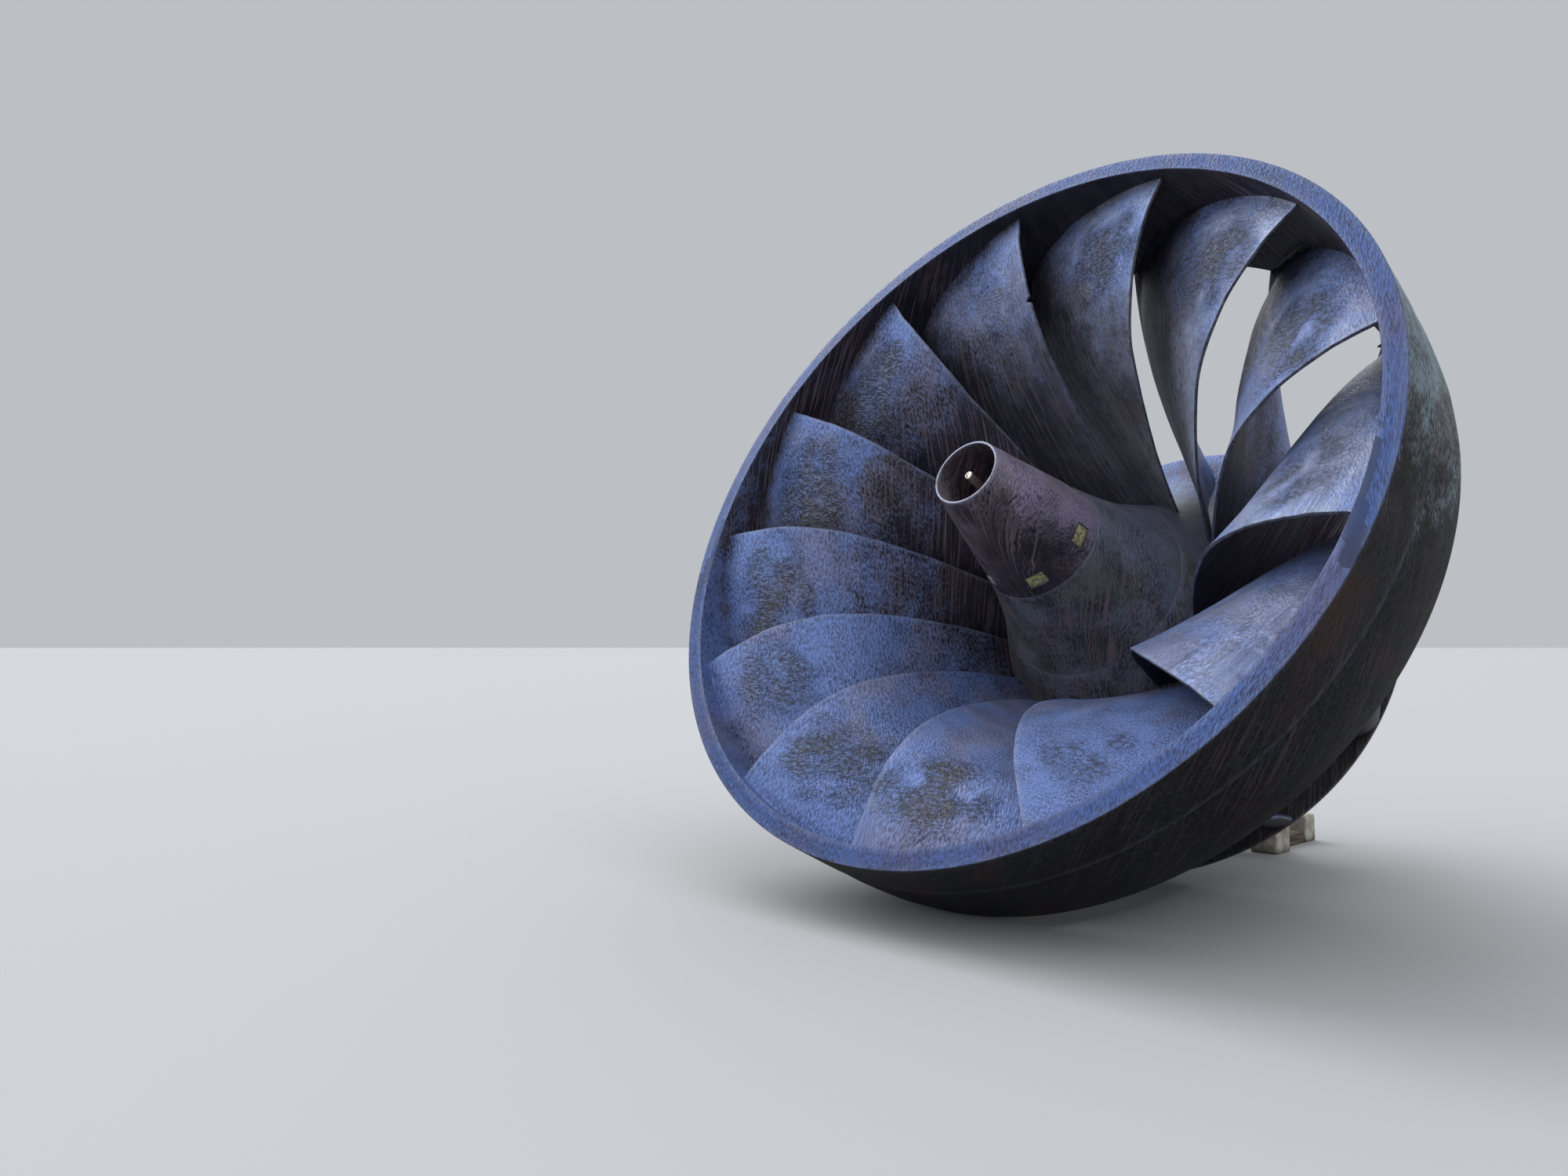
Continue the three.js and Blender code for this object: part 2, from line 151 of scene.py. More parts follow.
def run_off(grid, closed, step=0.015, steps=220):
    """For each point of a surface, the rivulet of rain water that passes it.

    Each point is followed up the surface to the edge that its water comes from. Gives the
    place along that edge, the length run, and how finely the rivulets are packed, as a
    power of two."""
    count, width = grid.shape[:2]
    down = np.gradient(grid, axis=0)
    around = np.gradient(grid, axis=1)
    if closed:
        around = (np.roll(grid, -1, 1) - np.roll(grid, 1, 1)) / 2
    a, b, c = (down * down).sum(-1), (down * around).sum(-1), (around * around).sum(-1)
    area = np.maximum(a * c - b * b, 1e-12)
    up_i = (c * down[..., 2] - b * around[..., 2]) / area
    up_j = (a * around[..., 2] - b * down[..., 2]) / area
    slope = np.sqrt(np.maximum(up_i * down[..., 2] + up_j * around[..., 2], 1e-6))
    climb = np.stack([up_i, up_j], -1) / slope[..., None]
    way = climb[..., :1] * down + climb[..., 1:] * around

    def edge_table(points, ways):
        between = (ways[1:] + ways[:-1]) / 2
        across = np.linalg.norm(np.cross(np.diff(points, axis=0), between), axis=1)
        return np.concatenate([[0], np.cumsum(across)])

    spots = np.stack(np.meshgrid(np.arange(count), np.arange(width), indexing="ij"), -1)
    spots = spots.reshape(-1, 2).astype(float)
    length = np.zeros(len(spots))
    moving = np.ones(len(spots), bool)
    for _ in range(steps):
        at = spots[moving]
        at = at + sample(climb, at[:, 0], at[:, 1], closed) * step
        spots[moving] = at
        length[moving] += step
        inside = (at[:, 0] > 0) & (at[:, 0] < count - 1)
        if not closed:
            inside &= (at[:, 1] > 0) & (at[:, 1] < width - 1)
        moving[np.flatnonzero(moving)[~inside]] = False
        if not moving.any():
            break
    rows, cols = spots[:, 0], spots[:, 1]
    first, last = rows < (count - 1) / 2, rows >= (count - 1) / 2
    source = np.zeros(len(spots))
    if closed:
        crest = int(np.argmax(grid[count // 2, :, 2]))
        turn = np.abs(np.mod(cols - crest + width / 2, width) - width / 2)
        source = turn / width * math.tau + np.where(last, 20.0, 0.0)
    else:
        tables = [
            edge_table(grid[0], way[0]),
            edge_table(grid[:, -1], way[:, -1]),
            edge_table(grid[-1], way[-1]),
            edge_table(grid[:, 0], way[:, 0]),
        ]
        beyond = np.stack([-rows, cols - (width - 1), rows - (count - 1), -cols], 1)
        edge = beyond.argmax(1)
        i, j = np.clip(rows, 0, count - 1), np.clip(cols, 0, width - 1)
        third_end = tables[0][-1] + tables[1][-1] + tables[2][-1]
        along = [
            np.interp(j, np.arange(width), tables[0]),
            tables[0][-1] + np.interp(i, np.arange(count), tables[1]),
            third_end - np.interp(j, np.arange(width), tables[2]),
            -np.interp(i, np.arange(count), tables[3]),
        ]
        source = np.choose(edge, along)
    source = source.reshape(count, width)
    di = np.gradient(source, axis=0)
    dj = np.gradient(source, axis=1)
    if closed:
        ahead, behind = np.roll(source, -1, 1) - source, source - np.roll(source, 1, 1)
        limit = 3 * math.tau / width
        dj = np.clip(np.where(np.abs(ahead) > np.abs(behind), ahead, behind), -limit, limit)
        di = np.clip(di, -limit, limit)
    packing = np.sqrt(np.maximum((c * di * di - 2 * b * di * dj + a * dj * dj) / area, 1e-24))
    power = -np.log2(np.clip(packing, 0.02, 8.0))
    for _ in range(2):
        sides = np.roll(power, 1, 1) + np.roll(power, -1, 1)
        if not closed:
            sides[:, 0], sides[:, -1] = 2 * power[:, 0], 2 * power[:, -1]
        power = (2 * power + sides) / 4
        padded = np.pad(power, ((1, 1), (0, 0)), "edge")
        power = (padded[:-2] + 2 * padded[1:-1] + padded[2:]) / 4
    return np.stack([source, length.reshape(count, width), power], -1)


def runner_shell():
    """All the pieces of the runner as one shape that rays can be cast against."""
    points, faces = [], []
    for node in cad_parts.values():
        first = len(points)
        points += [v.co.copy() for v in node.data.vertices]
        faces += [[first + v for v in face.vertices] for face in node.data.polygons]
    return BVHTree.FromPolygons(points, faces)


RAYS = 24
LOWEST_RISE = 0.20
STAND_OFF = 0.020
sky_ways = []
for k in range(RAYS):
    rise = LOWEST_RISE + (1 - LOWEST_RISE) * (k + 0.5) / RAYS
    turn = k * math.pi * (3 - math.sqrt(5))
    flat = math.sqrt(1 - rise * rise)
    sky_ways.append(Vector((flat * math.cos(turn), flat * math.sin(turn), rise)))
shell = runner_shell()


# The open-sky share is used by the steel for painted shade and painted sky sheen.
def open_sky(grid, outward, closed):
    """How much of the sky in front of each point of a grid is open, from 0 to 1, evened out."""
    found = np.zeros(grid.shape[:2])
    for i, j in np.ndindex(*found.shape):
        out = Vector(outward[i, j])
        start = Vector(grid[i, j]) + out * STAND_OFF
        clear = [shell.ray_cast(start, way)[0] is None for way in sky_ways if way.dot(out) > 0.08]
        found[i, j] = sum(clear) / max(1, len(clear))
    for _ in range(3):
        padded = np.pad(found, ((1, 1), (0, 0)), "edge")
        found = (padded[:-2] + 2 * padded[1:-1] + padded[2:]) / 4
        padded = np.pad(found, ((0, 0), (1, 1)), "wrap" if closed else "edge")
        found = (padded[:, :-2] + 2 * padded[:, 1:-1] + padded[:, 2:]) / 4
    return found[..., None]


def cast_wave(points, size=CASTING_WAVE):
    """Shallow unevenness of a cast surface, one height for each point."""
    return np.array([
        size * noise.noise(Vector(p) * 3.1) + 0.5 * size * noise.noise(Vector(p) * 11.0)
        for p in points
    ])


def make_piece(name, points, faces, flow=None, wear_and_highlight=None, pitted=None):
    """A mesh object from points and faces, with its run-off and open sky, its wear with painted
    highlight, and its pitting.
    """
    mesh = bpy.data.meshes.new(name)
    mesh.from_pydata([tuple(p) for p in points], [], [tuple(f) for f in faces])
    mesh.update()
    if flow is not None:
        kept = {"flow": flow[:, :3], "open": flow[:, 3], "wear_and_highlight": wear_and_highlight, "pitted": pitted}
        for label, values in kept.items():
            kind = ("FLOAT_VECTOR", "vector") if label == "flow" else ("FLOAT", "value")
            layer = mesh.attributes.new(label, kind[0], "POINT")
            layer.data.foreach_set(kind[1], np.ravel(values).astype(np.float32))
    mesh.shade_smooth()
    mesh.set_sharp_from_angle(angle=SHARP_FROM)
    piece = bpy.data.objects.new(name, mesh)
    bpy.context.scene.collection.objects.link(piece)
    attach(piece, "root")
    return piece


def grid_faces(rows, cols, close_rows, close_cols):
    """Quads over a grid of points, row by row."""
    i = np.arange(rows if close_rows else rows - 1)
    j = np.arange(cols if close_cols else cols - 1)
    i, j = (m.ravel() for m in np.meshgrid(i, j, indexing="ij"))
    below, beside = (i + 1) % rows, (j + 1) % cols
    return np.stack([i * cols + j, i * cols + beside, below * cols + beside, below * cols + j], 1)


def turned_piece(name, outline, spacing, corners, wave=CASTING_WAVE, rub=0.5, bright=()):
    """A ring turned from a closed outline, wavy as cast, with run-off on each of its faces.

    Its faces are the stretches of the outline between its corners. Its edges are rubbed a
    little, and those named bright are rubbed bare."""
    fine = rounded(outline, spacing)
    grid = turned_grid(fine, corners)
    count = len(fine)
    lengths = np.linalg.norm(np.roll(fine, -1, 0) - fine, axis=1)

    def far_from(spot):
        return np.linalg.norm(fine - np.array(spot), axis=1)

    real_corners = [corner[:2] for corner in outline if corner[2] > 0]
    corner_rows = sorted({int(np.argmin(far_from(corner))) for corner in real_corners})
    flow = np.zeros((count, corners, 4))
    coarse = 130
    tangent = np.roll(fine, -1, 0) - np.roll(fine, 1, 0)
    outward = np.stack([tangent[:, 1], -tangent[:, 0]], 1)
    outward /= np.linalg.norm(outward, axis=1)[:, None]
    turns = np.arange(corners) * coarse / corners
    for start, end in zip(corner_rows, corner_rows[1:] + [corner_rows[0] + count]):
        rows = np.arange(start, end + 1) % count
        along = np.concatenate([[0], np.cumsum(lengths[rows[:-1]])])
        steps = max(4, round(along[-1] / 0.02) + 1)
        even = np.linspace(0, along[-1], steps)
        shape = np.stack([np.interp(even, along, fine[rows, k]) for k in (0, 1)], 1)
        laid = lay(turned_grid(shape, coarse))
        found = run_off(laid, True)
        facing = np.cross(np.gradient(laid, axis=0), np.roll(laid, -1, 1) - np.roll(laid, 1, 1))
        facing /= np.linalg.norm(facing, axis=-1)[..., None]
        sky_grid = open_sky(laid[::2, ::2], -facing[::2, ::2], True)
        at = np.interp(along, even, np.arange(steps))
        at_rows, at_turns = np.meshgrid(at, turns, indexing="ij")
        flow[rows, :, :3] = sample(found, at_rows, at_turns, True)
        flow[rows, :, 3:] = sample(sky_grid, at_rows / 2, at_turns / 2, True)
    flat = grid.reshape(-1, 3)
    height = cast_wave(flat, wave).reshape(count, corners)
    away = np.min([far_from(corner) for corner in real_corners], axis=0)
    bared = [np.clip(1.3 - far_from(spot) / BARE_REACH, 0, 1) for spot in bright]
    height *= np.clip(away / WAVE_FADE, 0, 1)[:, None]
    angle = np.arctan2(grid[..., 1], grid[..., 0])
    grid[..., 0] -= height * outward[:, :1] * np.cos(angle)
    grid[..., 1] -= height * outward[:, :1] * np.sin(angle)
    grid[..., 2] -= height * outward[:, 1:]
    wear_and_highlight = np.repeat(np.max([rub * np.clip(1 - away / EDGE_RUB, 0, 1), *bared], axis=0), corners)
    return make_piece(
        name, lay(grid.reshape(-1, 3)), grid_faces(count, corners, True, True),
        flow.reshape(-1, 4), wear_and_highlight, np.zeros(count * corners),
    )


class Finish:
    """A material that is put together from nodes and ends in one surface shader."""

    def __init__(self, name):
        self.material = bpy.data.materials.new(name)
        self.material.use_nodes = True
        self.tree = self.material.node_tree
        self.surface = self.tree.nodes["Principled BSDF"]

    def feed(self, socket, value):
        """A socket takes another node's output, or a plain value."""
        if isinstance(value, bpy.types.NodeSocket):
            self.tree.links.new(value, socket)
        else:
            socket.default_value = value

    def add(self, kind, inputs=None, out=0, **settings):
        made = self.tree.nodes.new("ShaderNode" + kind)
        for key, value in settings.items():
            setattr(made, key, value)
        for key, value in (inputs or {}).items():
            self.feed(made.inputs[key], value)
        return made.outputs[out]

    def calc(self, operation, *values, clamp=False):
        return self.add("Math", dict(enumerate(values)), operation=operation, use_clamp=clamp)

    def ramp(self, value, low, high, bottom=0.0, top=1.0):
        """A soft rise from bottom to top while the value goes from low to high."""
        span = {"From Min": low, "From Max": high, "To Min": bottom, "To Max": top}
        return self.add("MapRange", {"Value": value, **span}, interpolation_type="SMOOTHSTEP")

    def mix(self, share, first, second):
        return self.calc("MULTIPLY_ADD", share, self.calc("SUBTRACT", second, first), first)

    def grain(self, vector, scale, detail=2.0, roughness=0.5, distortion=0.0):
        inputs = {"Vector": vector, "Scale": scale, "Detail": detail, "Roughness": roughness}
        return self.add("TexNoise", {**inputs, "Distortion": distortion})

    def bump(self, strength, distance, height):
        return self.add("Bump", {"Strength": strength, "Distance": distance, "Height": height})

    def blend(self, share, first, second):
        """One colour painted over another by a share."""
        painted = self.tree.nodes.new("ShaderNodeMix")
        painted.data_type = "RGBA"
        self.feed(painted.inputs[0], share)
        for socket, colour in ((6, first), (7, second)):
            plain = not isinstance(colour, bpy.types.NodeSocket)
            self.feed(painted.inputs[socket], (*colour, 1.0) if plain else colour)
        return painted.outputs[2]

    def join(self, **inputs):
        """The surface shader's own inputs, with spaces written as underscores."""
        for key, value in inputs.items():
            self.feed(self.surface.inputs[key.replace("_", " ")], value)


# The first two colours are a painted sky sheen: the sky's reflection in the dark steel, painted as
# colour where the steel faces up and out to open sky. The dark violet is the steel's own tone and
# also serves as painted shade where it is sheltered.
SKY_SHEEN_BLUE = (0.132, 0.208, 0.475)
SKY_SHEEN_MAUVE = (0.170, 0.202, 0.365)
WARM_GREY = (0.180, 0.155, 0.155)
DARK_VIOLET = (0.026, 0.022, 0.040)
STREAK_TAN = (0.190, 0.140, 0.160)
RIPPLE_DARK = (0.024, 0.024, 0.020)
RIPPLE_PALE = (0.240, 0.255, 0.310)
MOSS = (0.105, 0.100, 0.040)
RUST = (0.080, 0.030, 0.018)
EDGE_GREY = (0.275, 0.320, 0.430)
RIVULETS = 80.0


def weathered_steel_painted_sheen_and_shade(
    name, sky_sheen=SKY_SHEEN_BLUE, dull=SKY_SHEEN_MAUVE, shade=DARK_VIOLET,
    streak=1.0, tone_ramp=(-0.50, 0.32), shine=0.30, rim=None,
):
    """Cast steel that has stood in the rain: a painted sky sheen in the sheen colours, flecked,
    where it faces up and out to open sky, painted shade in its own dark tone where it is
    sheltered, lined with tan where water runs off, and rubbed grey at its edges, brighter as a
    painted highlight where they face the sky.

    Streak says how strong the lines are, the tone ramp how openly a place must face up and out
    to the sky to take the painted sheen, and shine how much light the skin throws back. A rim
    colour, a painted sky sheen with painted shade where it is sheltered, takes over far from
    the axis."""
    f = Finish(name)
    place = f.add("TexCoord", out=3)
    upward = f.add("SeparateXYZ", {0: f.add("NewGeometry", out=1)}, out=2)
    source = f.add("SeparateXYZ", {0: f.add("Attribute", attribute_name="flow", out=1)})
    length, power = source.node.outputs[1], source.node.outputs[2]
    level = f.calc("ADD", power, math.log2(RIVULETS))
    lower = f.calc("FLOOR", level)
    share = f.calc("SUBTRACT", level, lower)
    least = 0.58 - 0.03 * streak
    lines, drops = [], []
    for octave in (0.0, 1.0):
        whole = f.calc("ADD", lower, octave)
        across = f.calc("MULTIPLY", source, f.calc("POWER", 2.0, whole))
        fine = f.calc("MULTIPLY", across, 1.5)
        long_way = {0: fine, 1: f.calc("MULTIPLY", length, 3.0), 2: f.calc("MULTIPLY", whole, 7.3)}
        lines.append(f.ramp(f.grain(f.add("CombineXYZ", long_way), 1.0, 1.0), least, least + 0.06))
        short_way = {0: fine, 1: f.calc("MULTIPLY", length, 50.0), 2: whole}
        drops.append(f.grain(f.add("CombineXYZ", short_way), 1.0, 2.0, 0.6))
    sloping = f.ramp(f.calc("ABSOLUTE", upward), 0.97, 0.70)
    steep = f.calc("MULTIPLY", sloping, f.ramp(power, 4.0, 2.4))
    drop = f.mix(steep, f.grain(place, 170.0, 3.0, 0.6), f.mix(share, *drops))
    fleck = f.ramp(drop, 0.40, 0.60)
    broken = f.ramp(f.grain(place, 4.0, 2.0), 0.34, 0.60, 0.55, 1.0)
    thread = f.calc("MULTIPLY", f.calc("MULTIPLY", f.mix(share, *lines), steep), broken)
    mottle = f.grain(place, 7.0, 5.0, 0.62)
    cloud = f.grain(place, 2.4, 3.0, 0.6)
    # Painted shade and painted sky light: the baked share of open sky, how far the face turns up
    # and some noise decide where the painted sky sheen shows over the dark steel.
    exposed = f.calc("MULTIPLY_ADD", f.add("Attribute", attribute_name="open", out=2), 0.9, -0.6)
    uneven = f.calc("SUBTRACT", mottle, 0.5)
    facing = f.calc("ADD", f.calc("MULTIPLY_ADD", uneven, 0.55, upward), exposed)
    sky = f.ramp(facing, *tone_ramp)
    # The painted sky sheen: the sky's reflection in the steel painted as colour, in two tones mixed
    # by noise.
    bright = f.blend(f.ramp(cloud, 0.44, 0.64), sky_sheen, dull)
    if rim:
        arm = f.add("VectorMath", {0: place, 1: laid_down[:3, 3]}, operation="SUBTRACT")
        lever = f.add("VectorMath", {0: arm, 1: laid_down[:3, 2]}, operation="CROSS_PRODUCT")
        radius = f.add("VectorMath", {0: lever}, out=1, operation="LENGTH")
        # On the rim the sky sheen colour, with painted shade where the rim is sheltered.
        rim = f.blend(f.ramp(facing, 0.05, 0.55), tuple(0.2 * part for part in shade), rim)
        bright = f.blend(f.ramp(radius, 0.70, 1.00), bright, rim)
    # The painted sheen turns warm grey where the face turns away from the sky.
    turning = f.calc("MULTIPLY", f.ramp(sky, 0.90, 0.55), f.ramp(cloud, 0.54, 0.38, 0.0, 0.7))
    bright = f.blend(turning, bright, WARM_GREY)
    # The steel's own dark tone, which also stands as painted shade wherever the painted sheen is
    # missing.
    colour = f.blend(f.ramp(mottle, 0.38, 0.66), tuple(0.4 * part for part in shade), shade)
    colour = f.blend(f.calc("MULTIPLY", fleck, 0.06), colour, bright)
    # How much painted sky sheen lies over the dark steel, broken by flecks and mottle.
    sky_lit_share = f.calc("MULTIPLY", sky, 0.86)
    sky_lit_share = f.calc("MULTIPLY_ADD", f.calc("SUBTRACT", fleck, 0.62), 0.7, sky_lit_share)
    sky_lit_share = f.calc("MULTIPLY_ADD", f.calc("SUBTRACT", mottle, 0.53), 1.1, sky_lit_share)
    colour = f.blend(f.calc("MULTIPLY", sky_lit_share, f.ramp(sky, 0.0, 0.25), clamp=True), colour, bright)
    seen = f.calc("MULTIPLY", thread, f.calc("MULTIPLY_ADD", sky, -0.65, 0.80))
    colour = f.blend(f.calc("MULTIPLY", seen, streak), colour, STREAK_TAN)
    rusty = f.ramp(f.grain(place, 2.3, 4.0, 0.6), 0.55, 0.75, 0.0, 0.28)
    rusty = f.calc("MULTIPLY", rusty, f.calc("MULTIPLY_ADD", sky, -0.7, 1.0))
    colour = f.blend(rusty, colour, RUST)
    pitted = f.add("Attribute", attribute_name="pitted", out=2)
    flattened = f.add("Mapping", {"Vector": place, "Scale": (1.0, 1.0, 2.6)})
    wrinkles = f.grain(flattened, 42.0, 3.0, 0.65, 0.6)
    crest = f.blend(0.30, colour, f.blend(f.ramp(upward, 0.35, 0.75), RIPPLE_PALE, RIPPLE_DARK))
    rippled = f.blend(f.ramp(wrinkles, 0.43, 0.60), f.blend(0.15, RIPPLE_DARK, colour), crest)
    broken_up = f.calc("MULTIPLY_ADD", uneven, 1.6, f.calc("SUBTRACT", pitted, wrinkles))
    eaten = f.ramp(broken_up, -0.30, 0.25, 0.0, 0.90)
    eaten = f.calc("MULTIPLY", f.ramp(pitted, 0.02, 0.30), eaten)
    colour = f.blend(eaten, colour, rippled)
    tufts = f.ramp(f.grain(place, 55.0, 3.0), 0.50, 0.62, 0.0, 0.5)
    colour = f.blend(f.calc("MULTIPLY", f.ramp(pitted, 0.60, 1.00), tufts), colour, MOSS)
    wear_and_highlight = f.add("Attribute", attribute_name="wear_and_highlight", out=2)
    rub_and_highlight = f.calc("MULTIPLY", wear_and_highlight, f.ramp(f.grain(place, 22.0, 3.0), 0.30, 0.60, 0.25, 0.75))
    # Rubbed edges and pale tints are brighter where they face the sky: a painted highlight.
    rub_and_highlight = f.calc("MULTIPLY", rub_and_highlight, f.calc("MULTIPLY_ADD", sky, 0.6, 0.4))
    colour = f.blend(rub_and_highlight, colour, EDGE_GREY)
    relief = f.calc("MULTIPLY_ADD", drop, 1.6, f.calc("MULTIPLY", thread, 0.35))
    hollows = f.calc("MULTIPLY", wrinkles, f.ramp(pitted, 0.0, 0.45))
    relief = f.calc("MULTIPLY_ADD", hollows, 4.0, relief)
    bump = f.bump(0.9, 0.004, relief)
    gloss = f.ramp(mottle, 0.3, 0.7, 0.30, 0.46)
    rough = f.mix(sky, 0.58, gloss)
    f.join(Base_Color=colour, Metallic=0.40, Roughness=rough, Normal=bump, Specular_IOR_Level=shine)
    return f.material


# The band's outside has a green-grey patina that shows only where it faces the sky, so it is also a
# painted sky sheen; below it near-black steel stands as painted shade, as on the crown's back. The
# two lip colours are a painted sky sheen on the outlet face.
PATINA_AND_SHEEN_GREEN = (0.240, 0.345, 0.400)
DARK_STEEL_AND_SHADE = (0.009, 0.005, 0.009)
LIP_BLUE = (0.042, 0.088, 0.255)
LIP_MAUVE = (0.055, 0.080, 0.205)
runner_steel = weathered_steel_painted_sheen_and_shade("weathered_runner_steel_painted_sheen_and_shade")
lip_steel = weathered_steel_painted_sheen_and_shade("weathered_band_lip_painted_sheen_and_shade", LIP_BLUE, LIP_MAUVE, shine=0.20)
outside_steel = weathered_steel_painted_sheen_and_shade(
    "weathered_band_outside_painted_sheen_and_shade", PATINA_AND_SHEEN_GREEN, PATINA_AND_SHEEN_GREEN, DARK_STEEL_AND_SHADE, 0.22, (0.10, 0.74), 0.12,
)

outer_band = turned_piece("outer_band_ring", [
    (BAND_INLET_RADIUS, -BAND_DEPTH, 0.006),
    *run(band_outside, 14),
    (BAND_RADIUS, -BAND_STEP, 0.0015),
    (BAND_RADIUS, 0, 0.005),
    (BAND_BORE, 0, 0.004),
    *run(band_inside, 24, 1.0, 0.0)[1:-1],
    (band_inside[0][0], -BAND_DEPTH, 0.008),
], spacing=0.03, corners=520)
outer_band.data.materials.append(runner_steel)
outer_band.data.materials.append(outside_steel)
outer_band.data.materials.append(lip_steel)
axis = Vector(laid_down[:3, 2])
for face in outer_band.data.polygons:
    from_outlet = face.center - Vector(laid_down[:3, 3])
    height = from_outlet.dot(axis)
    if height > -0.006:
        face.material_index = 2
    elif (from_outlet - axis * height).length > BAND_INLET_RADIUS - 0.01:
        face.material_index = 1
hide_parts("outer_band")


# Crown and hub
# The crown is a heavy dished casting whose face flares from the hub ring to a thick rim.
# The hub ring stands on it, and a fine joint shows where they meet.
SEAM_RADIUS = 0.288
SEAM_DEPTH = 0.530
HUB_JOINT = 0.702
CROWN_BACK_DEPTH = 1.700
SHAFT_BORE = 0.260
HUB_BORE = 0.200
COUPLING_JOINT = 1.790
COUPLING_SEAT_RADIUS = 0.640
JOINT_GROOVE = 0.003
GAP = 0.0003

hub_face = [
    (1.169, -1.634), (1.010, -1.606), (0.885, -1.550), (0.790, -1.470), (0.697, -1.360),
    (0.588, -1.190), (0.488, -1.020), (0.400, -0.850), (0.335, -0.680), (SEAM_RADIUS, -SEAM_DEPTH),
]
joint_radius, joint_height = curve_at(hub_face, np.array([HUB_JOINT]))[0]

crown = turned_piece("crown_casting", [
    (SHAFT_BORE, -COUPLING_JOINT, 0.004),
    (COUPLING_SEAT_RADIUS, -COUPLING_JOINT, 0.020),
    (0.760, -1.690, 0.040),
    (0.940, -1.665, 0.030),
    (0.975, -CROWN_BACK_DEPTH, 0.012),
    (1.136, -CROWN_BACK_DEPTH, 0.008),
    (*hub_face[0], 0.007),
    *run(hub_face, 34, 0.02, HUB_JOINT)[:-1],
    (joint_radius, joint_height, JOINT_GROOVE),
    (SHAFT_BORE, joint_height, 0.004),
], spacing=0.04, corners=420)
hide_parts("crown")
hub = turned_piece("hub_ring", [
    (HUB_BORE, joint_height + GAP, 0.004),
    (joint_radius, joint_height + GAP, JOINT_GROOVE),
    *run(hub_face, 16, HUB_JOINT, 1.0)[1:-1],
    (SEAM_RADIUS, -SEAM_DEPTH, JOINT_GROOVE),
    (HUB_BORE, -SEAM_DEPTH, 0.003),
], spacing=0.025, corners=390)
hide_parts("hub")
# On the hub the grey and green are a painted sky sheen and the shade colour is painted shade; the
# crown's rim takes the blue painted sky sheen.
HUB_GREY = (0.190, 0.210, 0.290)
HUB_GREEN = (0.140, 0.160, 0.150)
HUB_SHADE = (0.085, 0.088, 0.105)
hub_steel = weathered_steel_painted_sheen_and_shade(
    "weathered_hub_steel_painted_sheen_and_shade", HUB_GREY, HUB_GREEN, HUB_SHADE, 1.8, (-0.95, 0.15), rim=SKY_SHEEN_BLUE,
)
back_steel = weathered_steel_painted_sheen_and_shade("weathered_back_steel_painted_sheen_and_shade", shade=DARK_STEEL_AND_SHADE, tone_ramp=(0.00, 0.62), shine=0.20)
for piece in (crown, hub):
    piece.data.materials.append(hub_steel)
crown.data.materials.append(back_steel)
# The crown's back gets the back steel: near-black painted shade, with painted sheen only where it
# faces steeply up.
for face in crown.data.polygons:
    height = (face.center - Vector(laid_down[:3, 3])).dot(axis)
    if height < hub_face[0][1] - 0.004:
        face.material_index = 1


# Shaft coupling
# A neck that narrows from the back of the crown, and a thick flange with a shallow register
# and a circle of stud holes, where the turbine shaft was bolted on.
FLANGE_RADIUS = 0.621
FLANGE_DEPTH = 2.584
FLANGE_THICKNESS = 0.230
REGISTER_RADIUS = 0.350
REGISTER_DEPTH = 0.060
NECK_RADIUS = 0.500
NECK_DEPTH = 2.150
STUDS = 12
STUD_CIRCLE = 0.500
STUD_HOLE = 0.038
STUD_HOLE_DEPTH = 0.110
STUD_HOLE_CORNERS = 32
DRILL_STAND_OUT = 0.05


def prism_faces(first, corners):
    """The faces of a closed prism whose two end rings of points start at first."""
    ring = [first + k for k in range(corners)]
    sides = [(a, b, b + corners, a + corners) for a, b in zip(ring, ring[1:] + ring[:1])]
    return [*sides, tuple(reversed(ring)), tuple(k + corners for k in ring)]


def worked_in(piece):
    """A piece's mesh with its modifiers worked into it."""
    bpy.context.view_layer.update()
    worked = piece.evaluated_get(bpy.context.evaluated_depsgraph_get())
    made = bpy.data.meshes.new_from_object(worked)
    piece.modifiers.clear()
    piece.data = made
    return made


def cut_away(piece, points, faces, steel):
    """The volume of a closed cutter taken out of a piece, which then gets its steel."""
    mesh = bpy.data.meshes.new("cutter")
    mesh.from_pydata([tuple(p) for p in points], [], faces)
    mesh.update()
    cutter = bpy.data.objects.new("cutter", mesh)
    bpy.context.scene.collection.objects.link(cutter)
    cut = piece.modifiers.new("cut", "BOOLEAN")
    cut.object = cutter
    cut.solver = "EXACT"
    made = worked_in(piece)
    bpy.data.objects.remove(cutter)
    made.set_sharp_from_angle(angle=SHARP_FROM)
    made.materials.clear()
    made.materials.append(steel)


coupling = turned_piece("shaft_coupling_flange", [
    (SHAFT_BORE, -FLANGE_DEPTH + REGISTER_DEPTH, 0.006),
    (REGISTER_RADIUS, -FLANGE_DEPTH + REGISTER_DEPTH, 0.004),
    (REGISTER_RADIUS, -FLANGE_DEPTH, 0.004),
    (FLANGE_RADIUS, -FLANGE_DEPTH, 0.008),
    (FLANGE_RADIUS, -FLANGE_DEPTH + FLANGE_THICKNESS, 0.008),
    (NECK_RADIUS, -FLANGE_DEPTH + FLANGE_THICKNESS, 0.030),
    (NECK_RADIUS, -NECK_DEPTH, 0.060),
    (COUPLING_SEAT_RADIUS, -COUPLING_JOINT - GAP, 0.006),
    (SHAFT_BORE, -COUPLING_JOINT - GAP, 0.004),
], spacing=0.03, corners=312)
drill_points, drill_faces = [], []
